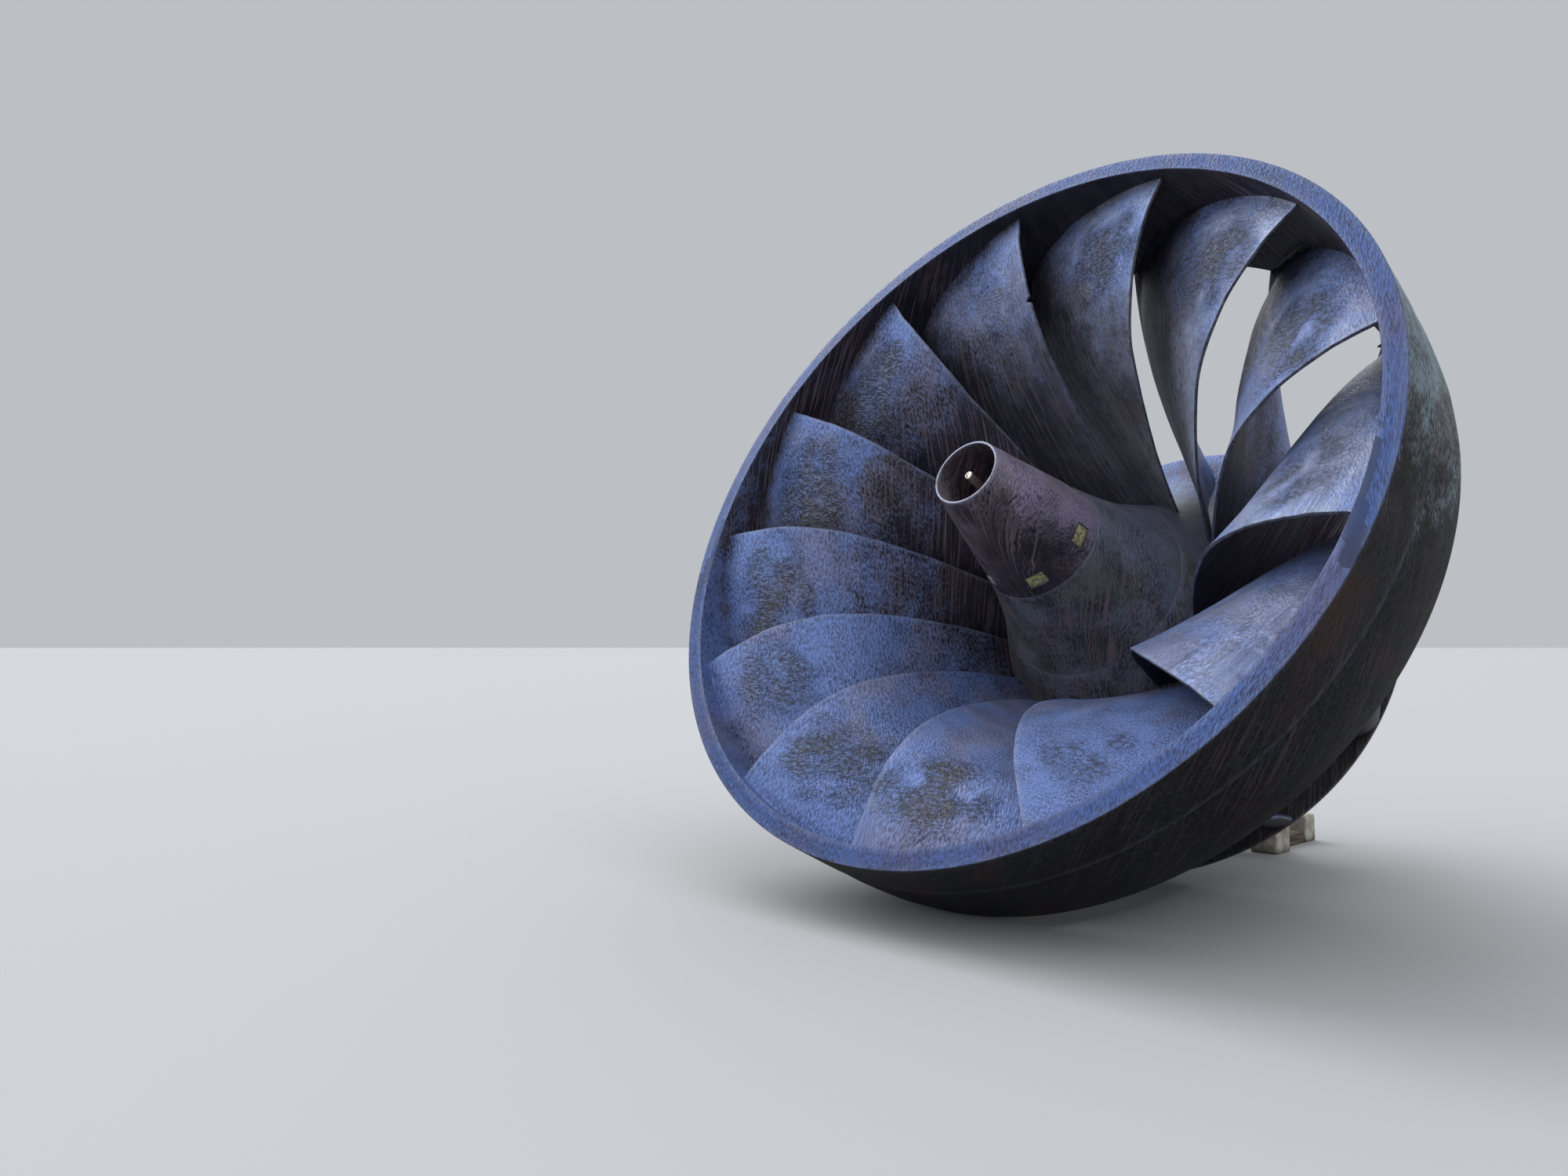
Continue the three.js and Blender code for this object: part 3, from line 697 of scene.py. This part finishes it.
for stud in range(STUDS):
    turn = (stud + 0.5) * math.tau / STUDS
    drill_faces += prism_faces(len(drill_points), STUD_HOLE_CORNERS)
    for height in (-FLANGE_DEPTH - DRILL_STAND_OUT, -FLANGE_DEPTH + STUD_HOLE_DEPTH):
        for side in range(STUD_HOLE_CORNERS):
            a = side * math.tau / STUD_HOLE_CORNERS
            drill_points.append((
                STUD_CIRCLE * math.cos(turn) + STUD_HOLE * math.cos(a),
                STUD_CIRCLE * math.sin(turn) + STUD_HOLE * math.sin(a),
                height,
            ))
cut_away(coupling, lay(np.array(drill_points)), drill_faces, back_steel)
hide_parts("shaft_coupling")


# Blades
# Thirteen twisted blades, cast in one with band and crown in the real runner. Each has a
# blunt round nose at the inlet, a thin outlet edge with a few nicks, and a pitted patch
# where the water wore it.
BAND_WRAP = 42.4
HUB_WRAP = 48.5
FIRST_BLADE = 73.2
BAND_EASE = 0.35
HUB_HOLD = 3.2
HUB_DIP = 74
BULGE = 36
BULGE_LATE = 57
BULGE_OUT = 51
BAND_END = 0.93
HUB_END = 0.716
OVERRUN = 0.012
EDGE_THICKNESS = 0.013
EDGE_ROUND = 0.0035
NOSE_THICKNESS = 0.052
FILLET = 0.030
outlet_edge = [
    (1.640, -0.070), (1.445, -0.080), (1.190, -0.158),
    (0.935, -0.364), (0.680, -0.799), (0.520, -1.230),
]
outlet_turns = [0, -0.6, -2.1, -3.9, -7.8, -12.5]
band_from = np.array((1.572, -BAND_DEPTH + 0.008))
hub_from = np.array((1.152, hub_face[0][1] + 0.006))


def carried_on(pairs, share):
    """Points of a smooth curve, carried on straight past its two ends."""
    share = np.asarray(share, float)
    inside = np.clip(share, 0, 1)
    inward = np.where(share < 0, 0.01, -0.01)
    end = curve_at(pairs, inside)
    slope = (end - curve_at(pairs, inside + inward)) / -inward[..., None]
    return end + slope * (share - inside)[..., None]


def blade_middle(s, q):
    """The middle surface of the first blade, s from band to hub, q from inlet to outlet."""
    still = (1 - q)[..., None]
    band = carried_on(band_inside, q * BAND_END) + (band_from - np.array(band_inside[0])) * still
    hub_side = carried_on(hub_face, q * HUB_END) + (hub_from - np.array(hub_face[0])) * still
    band_end = curve_at(band_inside, np.array([BAND_END]))[0]
    hub_end = curve_at(hub_face, np.array([HUB_END]))[0]
    straight = band_end * (1 - s)[..., None] + hub_end * s[..., None]
    place = band * (1 - s)[..., None] + hub_side * s[..., None]
    place = place + (carried_on(outlet_edge, s) - straight) * q[..., None]
    last = len(outlet_turns) - 1
    step = np.clip(np.floor(s * last), 0, last - 1)
    turns = np.array(outlet_turns, float)
    low = turns[step.astype(int)]
    outlet = low + (turns[step.astype(int) + 1] - low) * (s * last - step)
    at_band = BAND_WRAP * (1 - (1 - BAND_EASE) * q - BAND_EASE * q**5)
    at_hub = HUB_WRAP + (turns[-1] - HUB_WRAP) * np.abs(q) ** HUB_HOLD
    inlet = BAND_WRAP + (HUB_WRAP - BAND_WRAP) * s * (2 - s)
    turn = at_band * (1 - s) + at_hub * s + q * (outlet - s * turns[-1])
    turn = turn + (1 - q) * (inlet - BAND_WRAP - (HUB_WRAP - BAND_WRAP) * s)
    bulge = BULGE + BULGE_LATE * (2 * q - 1) + BULGE_OUT * (1 - 2 * s)
    turn = turn + bulge * s * (1 - s) * q * (1 - q) - HUB_DIP * s * s * q * (1 - q) ** 2
    angle = np.radians(turn + FIRST_BLADE)
    radius, height = place[..., 0], place[..., 1]
    return np.stack([radius * np.cos(angle), radius * np.sin(angle), height], -1)


def packed(low, high, count, dense_low, dense_high, weight):
    """Shares from low to high that lie closer together between dense_low and dense_high."""
    even = np.linspace(low, high, 2000)
    density = 1 + weight * ((even > dense_low) & (even < dense_high))
    total = np.concatenate([[0], np.cumsum((density[1:] + density[:-1]) / 2)])
    return np.interp(np.linspace(0, total[-1], count), total, even)


SPAN_ROWS = 104
FLOW_COLUMNS = 84
spans = packed(-OVERRUN, 1 + OVERRUN, SPAN_ROWS, 0.12, 0.46, 1.6)
close_ends = [np.linspace(-OVERRUN, 0.03, 7), np.linspace(0.97, 1 + OVERRUN, 7)]
spans = np.unique(np.concatenate([spans, *close_ends]))
flows = packed(0.0, 1.0, FLOW_COLUMNS, 0.80, 1.0, 2.0)
s_grid, q_grid = np.meshgrid(spans, flows, indexing="ij")


def blade_sides(s, q):
    """Middle points, their unit normals and half thicknesses over a grid of s and q."""
    middle = blade_middle(s, q)
    small = 1e-3
    normal = np.cross(blade_middle(s + small, q) - middle, blade_middle(s, q + small) - middle)
    normal /= np.linalg.norm(normal, axis=-1)[..., None]
    taper = np.clip((q - 0.15) / 0.85, 0, 1)
    taper = taper * taper * (3 - 2 * taper)
    body = NOSE_THICKNESS + (EDGE_THICKNESS - NOSE_THICKNESS) * taper
    half = (0.25 + 0.25 * np.sqrt(np.minimum(1, q / 0.06))) * body
    return middle, normal, half


def fillet_rise(middle, s):
    """How much a blade thickens where it runs into band and hub."""
    steps = np.linalg.norm(np.diff(middle, axis=0), axis=-1)
    along = np.vstack([np.zeros(middle.shape[1]), np.cumsum(steps, 0)])
    first = int(np.argmin(np.abs(s[:, 0])))
    last = int(np.argmin(np.abs(s[:, 0] - 1)))
    gap = np.minimum(along - along[first], along[last] - along)
    inside = np.clip(gap, 0, FILLET)
    return FILLET - np.sqrt(FILLET**2 - (FILLET - inside) ** 2)


middle, normal, half = blade_sides(s_grid, q_grid)
half = half + fillet_rise(middle, s_grid) * np.clip(q_grid / 0.10, 0, 1)
NOSE_STEPS = 9
EDGE_STEPS = 6
PATCH_MIDDLE = 0.30
LONG_PATCHES = (10, 11, 12)
CHIPPED_BLADE = 13
CHIP_PLACE = 0.425
CHIP_HALF_WIDTH = 0.009
CHIP_DEPTH = 0.030
patch_strength = [0.85, 1.00, 1.00, 0.60, 0.25, 0.45, 1.00, 0.95, 0.60, 0.95, 0.95, 0.75, 0.30]
# Each blade's pale tint near its outlet edge, partly a pale deposit and partly a painted highlight
# that brightens the upper blades.
pale_and_highlight_strength = [0.65, 0.95, 0.45, 0.80, 0.35] + [0.0] * 7 + [0.35]
rows = len(spans)
coarse_s, coarse_q = np.meshgrid(np.linspace(0, 1, 56), np.linspace(0, 1, 48), indexing="ij")
coarse_middle, coarse_normal, coarse_half = blade_sides(coarse_s, coarse_q)


def turned_by(points, angle):
    """Points turned round the axis."""
    c, s = math.cos(angle), math.sin(angle)
    return points @ np.array([[c, s, 0], [-s, c, 0], [0, 0, 1]])


def pit_depth(points, reach):
    """Wrinkled hollows of a pitted patch, deepest in its middle."""
    found = np.zeros(len(points))
    for k in np.flatnonzero(reach > 0.02):
        p = Vector(points[k])
        wrinkles = noise.noise(Vector((p.x * 22, p.y * 22, p.z * 70)))
        found[k] = reach[k] * (0.0035 * abs(wrinkles) + 0.0015 * noise.noise(p * 95))
    return found


def blade_piece(number):
    """One blade as a closed skin: face, nose, back and outlet edge."""
    angle = -(number - 1) * PITCH
    seed = Vector((number * 13.7, number * 5.1, number * 2.3))
    sway = np.array([noise.noise(Vector((s * 14, 0, 0)) + seed) for s in spans])
    nicks = np.array([noise.noise(Vector((s * 46, 3, 0)) + seed) for s in spans])
    edge_move = 0.0025 * sway - 0.006 * np.maximum(0, nicks - 0.42)
    if number == CHIPPED_BLADE:
        away = (spans - CHIP_PLACE) / CHIP_HALF_WIDTH
        edge_move -= CHIP_DEPTH * np.clip(1 - np.abs(away), 0, 1) ** 0.7
    back = middle - np.roll(middle, 1, 1)
    back[:, 0] = back[:, 1]
    downstream = back / np.linalg.norm(back, axis=-1)[..., None]
    pull = np.clip((q_grid - 0.9) / 0.1, 0, 1) ** 3
    base = middle + downstream * (edge_move[:, None] * pull)[..., None]
    at_flow, wide = (0.82, 0.17) if number in LONG_PATCHES else (0.915, 0.085)
    far = (s_grid - PATCH_MIDDLE) / 0.15, (q_grid - at_flow) / wide
    reach = np.clip(1.25 - np.sqrt(far[0] ** 2 + far[1] ** 2), 0, 1)
    wobble = np.array([noise.noise(Vector(p) * 9 + seed) for p in base.reshape(-1, 3)])
    reach = np.clip(reach * (1.1 + 1.6 * wobble.reshape(reach.shape)), 0, 1)
    reach = patch_strength[number - 1] * reach
    cloudy = np.array([noise.noise(Vector(p) * 3.5 - seed) for p in base.reshape(-1, 3)])
    paled = np.clip((q_grid - 0.45) / 0.40, 0, 1)
    paled = paled * np.clip(0.8 + 1.2 * cloudy.reshape(reach.shape), 0, 1)
    face = base + normal * half[..., None]
    rear = base - normal * half[..., None]
    lie = turned_by(face.reshape(-1, 3), angle)
    dents = cast_wave(lie) + pit_depth(lay(lie), reach.ravel())
    face = face - normal * dents.reshape(rows, -1)[..., None]
    wave = cast_wave(turned_by(rear.reshape(-1, 3), angle))
    rear = rear + normal * wave.reshape(rows, -1)[..., None]
    columns = [face[:, ::-1]]
    upstream = -downstream[:, 0]
    mid = (face[:, 0] + rear[:, 0]) / 2
    arm = (face[:, 0] - rear[:, 0]) / 2
    reach_out = np.linalg.norm(arm, axis=1)[:, None] * 0.8
    for t in np.linspace(0, math.pi, NOSE_STEPS + 2)[1:-1]:
        columns.append((mid + arm * math.cos(t) + upstream * reach_out * math.sin(t))[:, None])
    columns.append(rear)
    mid = (face[:, -1] + rear[:, -1]) / 2
    arm = (rear[:, -1] - face[:, -1]) / 2
    for t in np.linspace(0, math.pi, EDGE_STEPS + 2)[1:-1]:
        across = math.copysign(abs(math.cos(t)) ** 0.5, math.cos(t))
        out = downstream[:, -1] * EDGE_ROUND * math.sin(t) ** 0.5
        columns.append((mid + arm * across + out)[:, None])
    skin = np.concatenate(columns, 1)
    width = skin.shape[1]
    count = len(flows)
    q_of = np.concatenate([flows[::-1], np.zeros(NOSE_STEPS), flows, np.ones(EDGE_STEPS)])
    on_face = np.arange(width) < count + NOSE_STEPS // 2
    flow = np.zeros((rows, width, 4))
    at_s = np.clip(spans, 0, 1) * (len(coarse_s) - 1)
    for side, mask in ((1, on_face), (-1, ~on_face)):
        shape = coarse_middle + side * coarse_normal * coarse_half[..., None]
        laid = lay(turned_by(shape, angle))
        facing = side * turned_by(coarse_normal, angle) @ laid_down[:3, :3].T
        found = run_off(laid, False)
        sky_grid = open_sky(laid[::2, ::2], facing[::2, ::2], False)
        at_rows, at_cols = np.meshgrid(at_s, q_of[mask] * (coarse_q.shape[1] - 1), indexing="ij")
        flow[:, mask, :3] = sample(found, at_rows, at_cols, False)
        flow[:, mask, 3:] = sample(sky_grid, at_rows / 2, at_cols / 2, False)
    wear_and_highlight = np.zeros((rows, width))
    wear_and_highlight[:, -EDGE_STEPS:] = 1
    paled = paled * np.clip(1 - 1.4 * reach, 0.15, 1)
    # The face's pale tint: partly pale deposit, partly painted highlight.
    wear_and_highlight[:, :count] = pale_and_highlight_strength[number - 1] * paled[:, ::-1]
    wear_and_highlight[:, [0, count + NOSE_STEPS + count - 1]] += 0.35
    pitted = np.zeros((rows, width))
    pitted[:, :count] = reach[:, ::-1]
    points = lay(turned_by(skin.reshape(-1, 3), angle))
    faces = [tuple(f) for f in grid_faces(rows, width, False, True)]
    faces.append(tuple(range(width)))
    faces.append(tuple((rows - 1) * width + k for k in reversed(range(width))))
    name = "blade_skin_%02d" % number
    piece = make_piece(name, points, faces, flow.reshape(-1, 4), wear_and_highlight.ravel(), pitted.ravel())
    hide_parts("blade_%02d" % number)
    piece.data.materials.append(runner_steel)


for number in range(1, BLADES + 1):
    blade_piece(number)


# Runner cone
# The hollow nose that is bolted to the hub ring: a plain taper with an open mouth, a square
# pocket over each of its six bolts, and a blind bore that holds the tie rod.
MOUTH_RADIUS = 0.153
MOUTH_HEIGHT = 0.060
TUBE_WALL = 0.009
BORE_DEPTH = 0.330
BORE_FLOOR_HOLE = 0.010
POCKETS = 6
FIRST_POCKET = math.radians(-7)
POCKET_DEPTH = 0.452
POCKET_LENGTH = 0.062
POCKET_WIDTH = 0.092
POCKET_RADIUS = 0.268
POCKET_SINK = 0.020
SQUARE = ((-1, -1), (1, -1), (1, 1), (-1, 1))
cone_slope = math.atan2(SEAM_RADIUS - MOUTH_RADIUS, SEAM_DEPTH + MOUTH_HEIGHT)
mouth_edges = [(MOUTH_RADIUS, MOUTH_HEIGHT), (MOUTH_RADIUS - TUBE_WALL, MOUTH_HEIGHT)]
# The cone's mauve and tan are its dusty tone and also a painted sky sheen where it faces up; its
# shade colour is painted shade.
DUST_AND_SHEEN_MAUVE = (0.335, 0.285, 0.405)
DUST_AND_SHEEN_TAN = (0.320, 0.270, 0.310)
CONE_SHADE = (0.050, 0.042, 0.058)
cone_steel = weathered_steel_painted_sheen_and_shade(
    "weathered_cone_steel_painted_sheen_and_shade", DUST_AND_SHEEN_MAUVE, DUST_AND_SHEEN_TAN, CONE_SHADE, 1.7, (-0.60, 0.20),
)

cone = turned_piece("runner_cone_shell", [
    (BORE_FLOOR_HOLE, -SEAM_DEPTH + GAP, 0.002),
    (SEAM_RADIUS, -SEAM_DEPTH + GAP, 0.003),
    (MOUTH_RADIUS, MOUTH_HEIGHT, 0.0025),
    (MOUTH_RADIUS - TUBE_WALL, MOUTH_HEIGHT, 0.0025),
    (MOUTH_RADIUS - TUBE_WALL, -BORE_DEPTH, 0.012),
    (BORE_FLOOR_HOLE, -BORE_DEPTH, 0.002),
], spacing=0.014, corners=260, wave=0.0007, rub=0.35, bright=mouth_edges)


def pocket_frame(index):
    """The place on the cone of one pocket, with X out of the surface and Z up the slope."""
    turn = Matrix.Rotation(FIRST_POCKET + index * math.tau / POCKETS, 4, "Z")
    place = Matrix.Translation((POCKET_RADIUS, 0, -POCKET_DEPTH))
    return Matrix(laid_down.tolist()) @ turn @ place @ Matrix.Rotation(-cone_slope, 4, "Y")


tool_points, tool_faces = [], []
for index in range(POCKETS):
    where = pocket_frame(index)
    tool_faces += prism_faces(len(tool_points), 4)
    for x in (-POCKET_SINK, POCKET_SINK):
        for y, z in SQUARE:
            tool_points.append(where @ Vector((x, y * POCKET_WIDTH / 2, z * POCKET_LENGTH / 2)))
cut_away(cone, tool_points, tool_faces, cone_steel)
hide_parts("runner_cone")


# Pocket fillings
# Mortar that closes each bolt pocket a little below the steel, rough and overgrown with
# yellow-green lichen.
FILLING_SINK = 0.006
FILLING_DEPTH = 0.012
FILLING_EDGE_DROP = 0.003
ACROSS = 18
ALONG = 13
LICHEN = (0.34, 0.36, 0.12)
LICHEN_PALE = (0.55, 0.55, 0.33)
MORTAR = (0.16, 0.14, 0.10)


def lichen_mortar():
    """Crumbling mortar under patches of lichen."""
    f = Finish("lichen_on_mortar")
    place = f.add("TexCoord", out=3)
    crumbs = f.grain(place, 60.0, 4.0, 0.7)
    colour = f.blend(f.ramp(crumbs, 0.43, 0.56), MORTAR, LICHEN)
    colour = f.blend(f.ramp(f.grain(place, 190.0, 2.0), 0.55, 0.68), colour, LICHEN_PALE)
    f.join(Base_Color=colour, Roughness=0.95, Normal=f.bump(0.8, 0.003, crumbs))
    return f.material


lichen = lichen_mortar()
for index in range(POCKETS):
    where = pocket_frame(index)
    upper, lower = [], []
    for i, j in np.ndindex(ALONG + 1, ACROSS + 1):
        y = (j / ACROSS - 0.5) * (POCKET_WIDTH - 2 * GAP)
        z = (i / ALONG - 0.5) * (POCKET_LENGTH - 2 * GAP)
        lump = 0.0035 * noise.noise(Vector((y * 60, z * 60, index * 9.0)))
        rim = min(1 - abs(2 * j / ACROSS - 1), 1 - abs(2 * i / ALONG - 1))
        upper.append((-FILLING_SINK + lump - FILLING_EDGE_DROP * (1 - min(1, rim * 4)), y, z))
        lower.append((-FILLING_SINK - FILLING_DEPTH, y, z))
    top = len(upper)
    sheet = grid_faces(ALONG + 1, ACROSS + 1, False, False)
    spots = np.arange(top).reshape(ALONG + 1, ACROSS + 1)
    ring = [*spots[0], *spots[1:, -1], *spots[-1, -2::-1], *spots[-2:0:-1, 0]]
    walls = [(b, a, a + top, b + top) for a, b in zip(ring, ring[1:] + ring[:1])]
    points = [where @ Vector(p) for p in upper + lower]
    faces = [*sheet, *(sheet[:, ::-1] + top), *walls]
    filling = make_piece("pocket_filling_%d" % (index + 1), points, faces)
    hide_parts("bolt_pocket_cover_%d" % (index + 1))
    filling.data.materials.append(lichen)


# Tie rod
# A round steel rod on a collar at the bottom of the nose bore. Its end, rubbed bright,
# stops just inside the mouth.
ROD_RADIUS = 0.018
ROD_END = 0.037
COLLAR_RADIUS = 0.046
COLLAR_HEIGHT = 0.034
ROD_AXIS = 0.0006


def bright_rod():
    """Bare steel with brown stains."""
    f = Finish("bright_rod_end")
    place = f.add("TexCoord", out=3)
    stain = f.ramp(f.grain(place, 40.0, 4.0, 0.65), 0.40, 0.62)
    colour = f.blend(stain, (0.55, 0.52, 0.48), (0.20, 0.13, 0.09))
    bump = f.bump(0.3, 0.001, f.grain(place, 300.0, 2.0))
    rough = f.ramp(stain, 0.0, 1.0, 0.30, 0.65)
    f.join(Base_Color=colour, Metallic=0.85, Roughness=rough, Normal=bump)
    return f.material


foot = -BORE_DEPTH + GAP
rod = turned_piece("tie_rod_shank", [
    (ROD_AXIS, foot, 0.0001),
    (COLLAR_RADIUS, foot, 0.002),
    (COLLAR_RADIUS, foot + COLLAR_HEIGHT, 0.003),
    (ROD_RADIUS, foot + COLLAR_HEIGHT, 0.002),
    (ROD_RADIUS, ROD_END, 0.003),
    (ROD_AXIS, ROD_END, 0.0001),
], spacing=0.01, corners=48, wave=0.0, rub=0.0)
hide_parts("tie_rod")
rod.data.materials.append(bright_rod())


# Stone blocks and packing timber
# Rough pale stone blocks carry the lowest part of the coupling, one on each side, and a
# weathered length of timber and a low block lie behind the right one.
FLAT_ENDS = 0.02
STONE = (0.52, 0.50, 0.44)
STONE_SHADE = (0.30, 0.28, 0.24)
FOOT_BROWN = (0.10, 0.075, 0.055)
TIMBER_GREY = (0.16, 0.125, 0.095)
TIMBER_DARK = (0.045, 0.032, 0.024)


def rough_stone():
    """Pale stone, darker brown towards its foot."""
    f = Finish("rough_pale_stone")
    place = f.add("TexCoord", out=3)
    height = f.add("SeparateXYZ", {0: place}, out=2)
    cloud = f.grain(place, 14.0, 5.0, 0.65)
    colour = f.blend(f.ramp(cloud, 0.35, 0.65), STONE_SHADE, STONE)
    tone_ramp = f.ramp(f.calc("MULTIPLY_ADD", cloud, 0.08, height), 0.11, 0.03)
    colour = f.blend(f.calc("MULTIPLY", tone_ramp, 0.8), colour, FOOT_BROWN)
    bump = f.bump(0.7, 0.004, f.grain(place, 70.0, 5.0, 0.7))
    f.join(Base_Color=colour, Roughness=0.92, Normal=bump)
    return f.material


def grey_timber():
    """Old timber with dark fibres along its length."""
    f = Finish("weathered_timber")
    place = f.add("TexCoord", out=3)
    fibres = f.grain(f.add("Mapping", {"Vector": place, "Scale": (90.0, 4.0, 90.0)}), 1.0, 4.0, 0.6)
    colour = f.blend(f.ramp(fibres, 0.35, 0.65), TIMBER_DARK, TIMBER_GREY)
    f.join(Base_Color=colour, Roughness=0.88, Normal=f.bump(0.6, 0.003, fibres))
    return f.material


def worn_block(name, node, chip, size):
    """A block cut to its node's own faces, worn at the edges, with its foot and head flat."""
    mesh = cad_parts[node].data.copy()
    mesh.name = name
    mesh.materials.clear()
    piece = bpy.data.objects.new(name, mesh)
    bpy.context.scene.collection.objects.link(piece)
    low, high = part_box(node)
    weld = piece.modifiers.new("weld", "WELD")
    weld.merge_threshold = 0.0005
    bevel = piece.modifiers.new("bevel", "BEVEL")
    bevel.width = chip
    bevel.segments = 3
    remesh = piece.modifiers.new("remesh", "REMESH")
    remesh.mode = "VOXEL"
    remesh.voxel_size = size
    made = worked_in(piece)
    made.name = name
    middle = (low + high) / 2
    for v in made.vertices:
        lump = noise.noise(v.co * 9.0) + 0.5 * noise.noise(v.co * 31.0)
        inward = (middle - v.co).normalized()
        moved = v.co + inward * (chip * 0.35 * (1 + lump))
        foot_share = min(1.0, max(0.0, (v.co.z - low.z) / FLAT_ENDS))
        head_share = min(1.0, max(0.0, (high.z - v.co.z) / FLAT_ENDS))
        v.co.x, v.co.y = moved.x, moved.y
        v.co.z += (moved.z - v.co.z) * foot_share * head_share
        v.co.z = max(v.co.z, low.z)
    made.shade_smooth()
    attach(piece, "root")
    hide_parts(node)
    return piece


stone = rough_stone()
timber = grey_timber()
for node in ("coupling_block_right", "coupling_block_left", "rear_block"):
    block = worn_block(node + "_stone", node, 0.010, 0.006)
    block.data.materials.append(stone)
beam = worn_block("packing_timber_beam", "packing_timber", 0.005, 0.004)
beam.data.materials.append(timber)


# Floor, light and camera
# A plain pale studio floor, broad soft lights like parts of an overcast sky, the brightest
# of them from the left, and the camera where the picture was taken from.
FLOOR_SIZE = 2000.0
FLOOR_COLOUR = (0.41, 0.42, 0.43)
CAMERA_FROM_OUTLET = (3.019, -3.851, -0.706)
CAMERA_SIGHT = (-0.73651, 0.67450, 0.05092)
CAMERA_FOCAL = 26.35

floor_mesh = bpy.data.meshes.new("studio_floor")
corners = [(x * FLOOR_SIZE / 2, y * FLOOR_SIZE / 2, 0) for x, y in SQUARE]
floor_mesh.from_pydata(corners, [], [(0, 1, 2, 3)])
floor = bpy.data.objects.new("studio_floor", floor_mesh)
bpy.context.scene.collection.objects.link(floor)
paving = Finish("studio_floor")
paving.join(Base_Color=(*FLOOR_COLOUR, 1.0), Roughness=0.9)
floor.data.materials.append(paving.material)

world = bpy.data.worlds.new("studio")
bpy.context.scene.world = world
world.use_nodes = True
sky = world.node_tree.nodes["Background"]
sky.inputs["Color"].default_value = (0.84, 0.87, 0.92, 1.0)
sky.inputs["Strength"].default_value = 0.60
bpy.context.scene.view_settings.view_transform = "Standard"


def soft_light(name, come_from, strength, spread):
    """A broad even light, like a bright part of an overcast sky."""
    lamp = bpy.data.lights.new(name, "SUN")
    lamp.energy = strength
    lamp.angle = math.radians(spread)
    lamp_object = bpy.data.objects.new(name, lamp)
    lamp_object.rotation_euler = (-Vector(come_from)).to_track_quat("-Z", "Y").to_euler()
    bpy.context.scene.collection.objects.link(lamp_object)


soft_light("left", (-1.00, 0.00, 1.00), 1.42, 45)
soft_light("behind_left", (-0.50, 0.50, 0.70), 0.80, 45)
soft_light("front_left", (-0.65, -0.55, 0.52), 0.50, 45)
soft_light("above", (0.15, 0.10, 1.00), 0.45, 75)
soft_light("right", (0.60, -0.35, 0.70), 0.68, 60)
soft_light("front", (-0.25, -0.90, 0.34), 0.60, 60)

camera_data = bpy.data.cameras.new("camera")
camera_data.lens = CAMERA_FOCAL
camera_data.sensor_width = 36.0
camera = bpy.data.objects.new("camera", camera_data)
camera.location = Vector((0, outlet_y, outlet_height)) + Vector(CAMERA_FROM_OUTLET)
camera.rotation_euler = Vector(CAMERA_SIGHT).to_track_quat("-Z", "Y").to_euler()
bpy.context.scene.collection.objects.link(camera)
bpy.context.scene.camera = camera
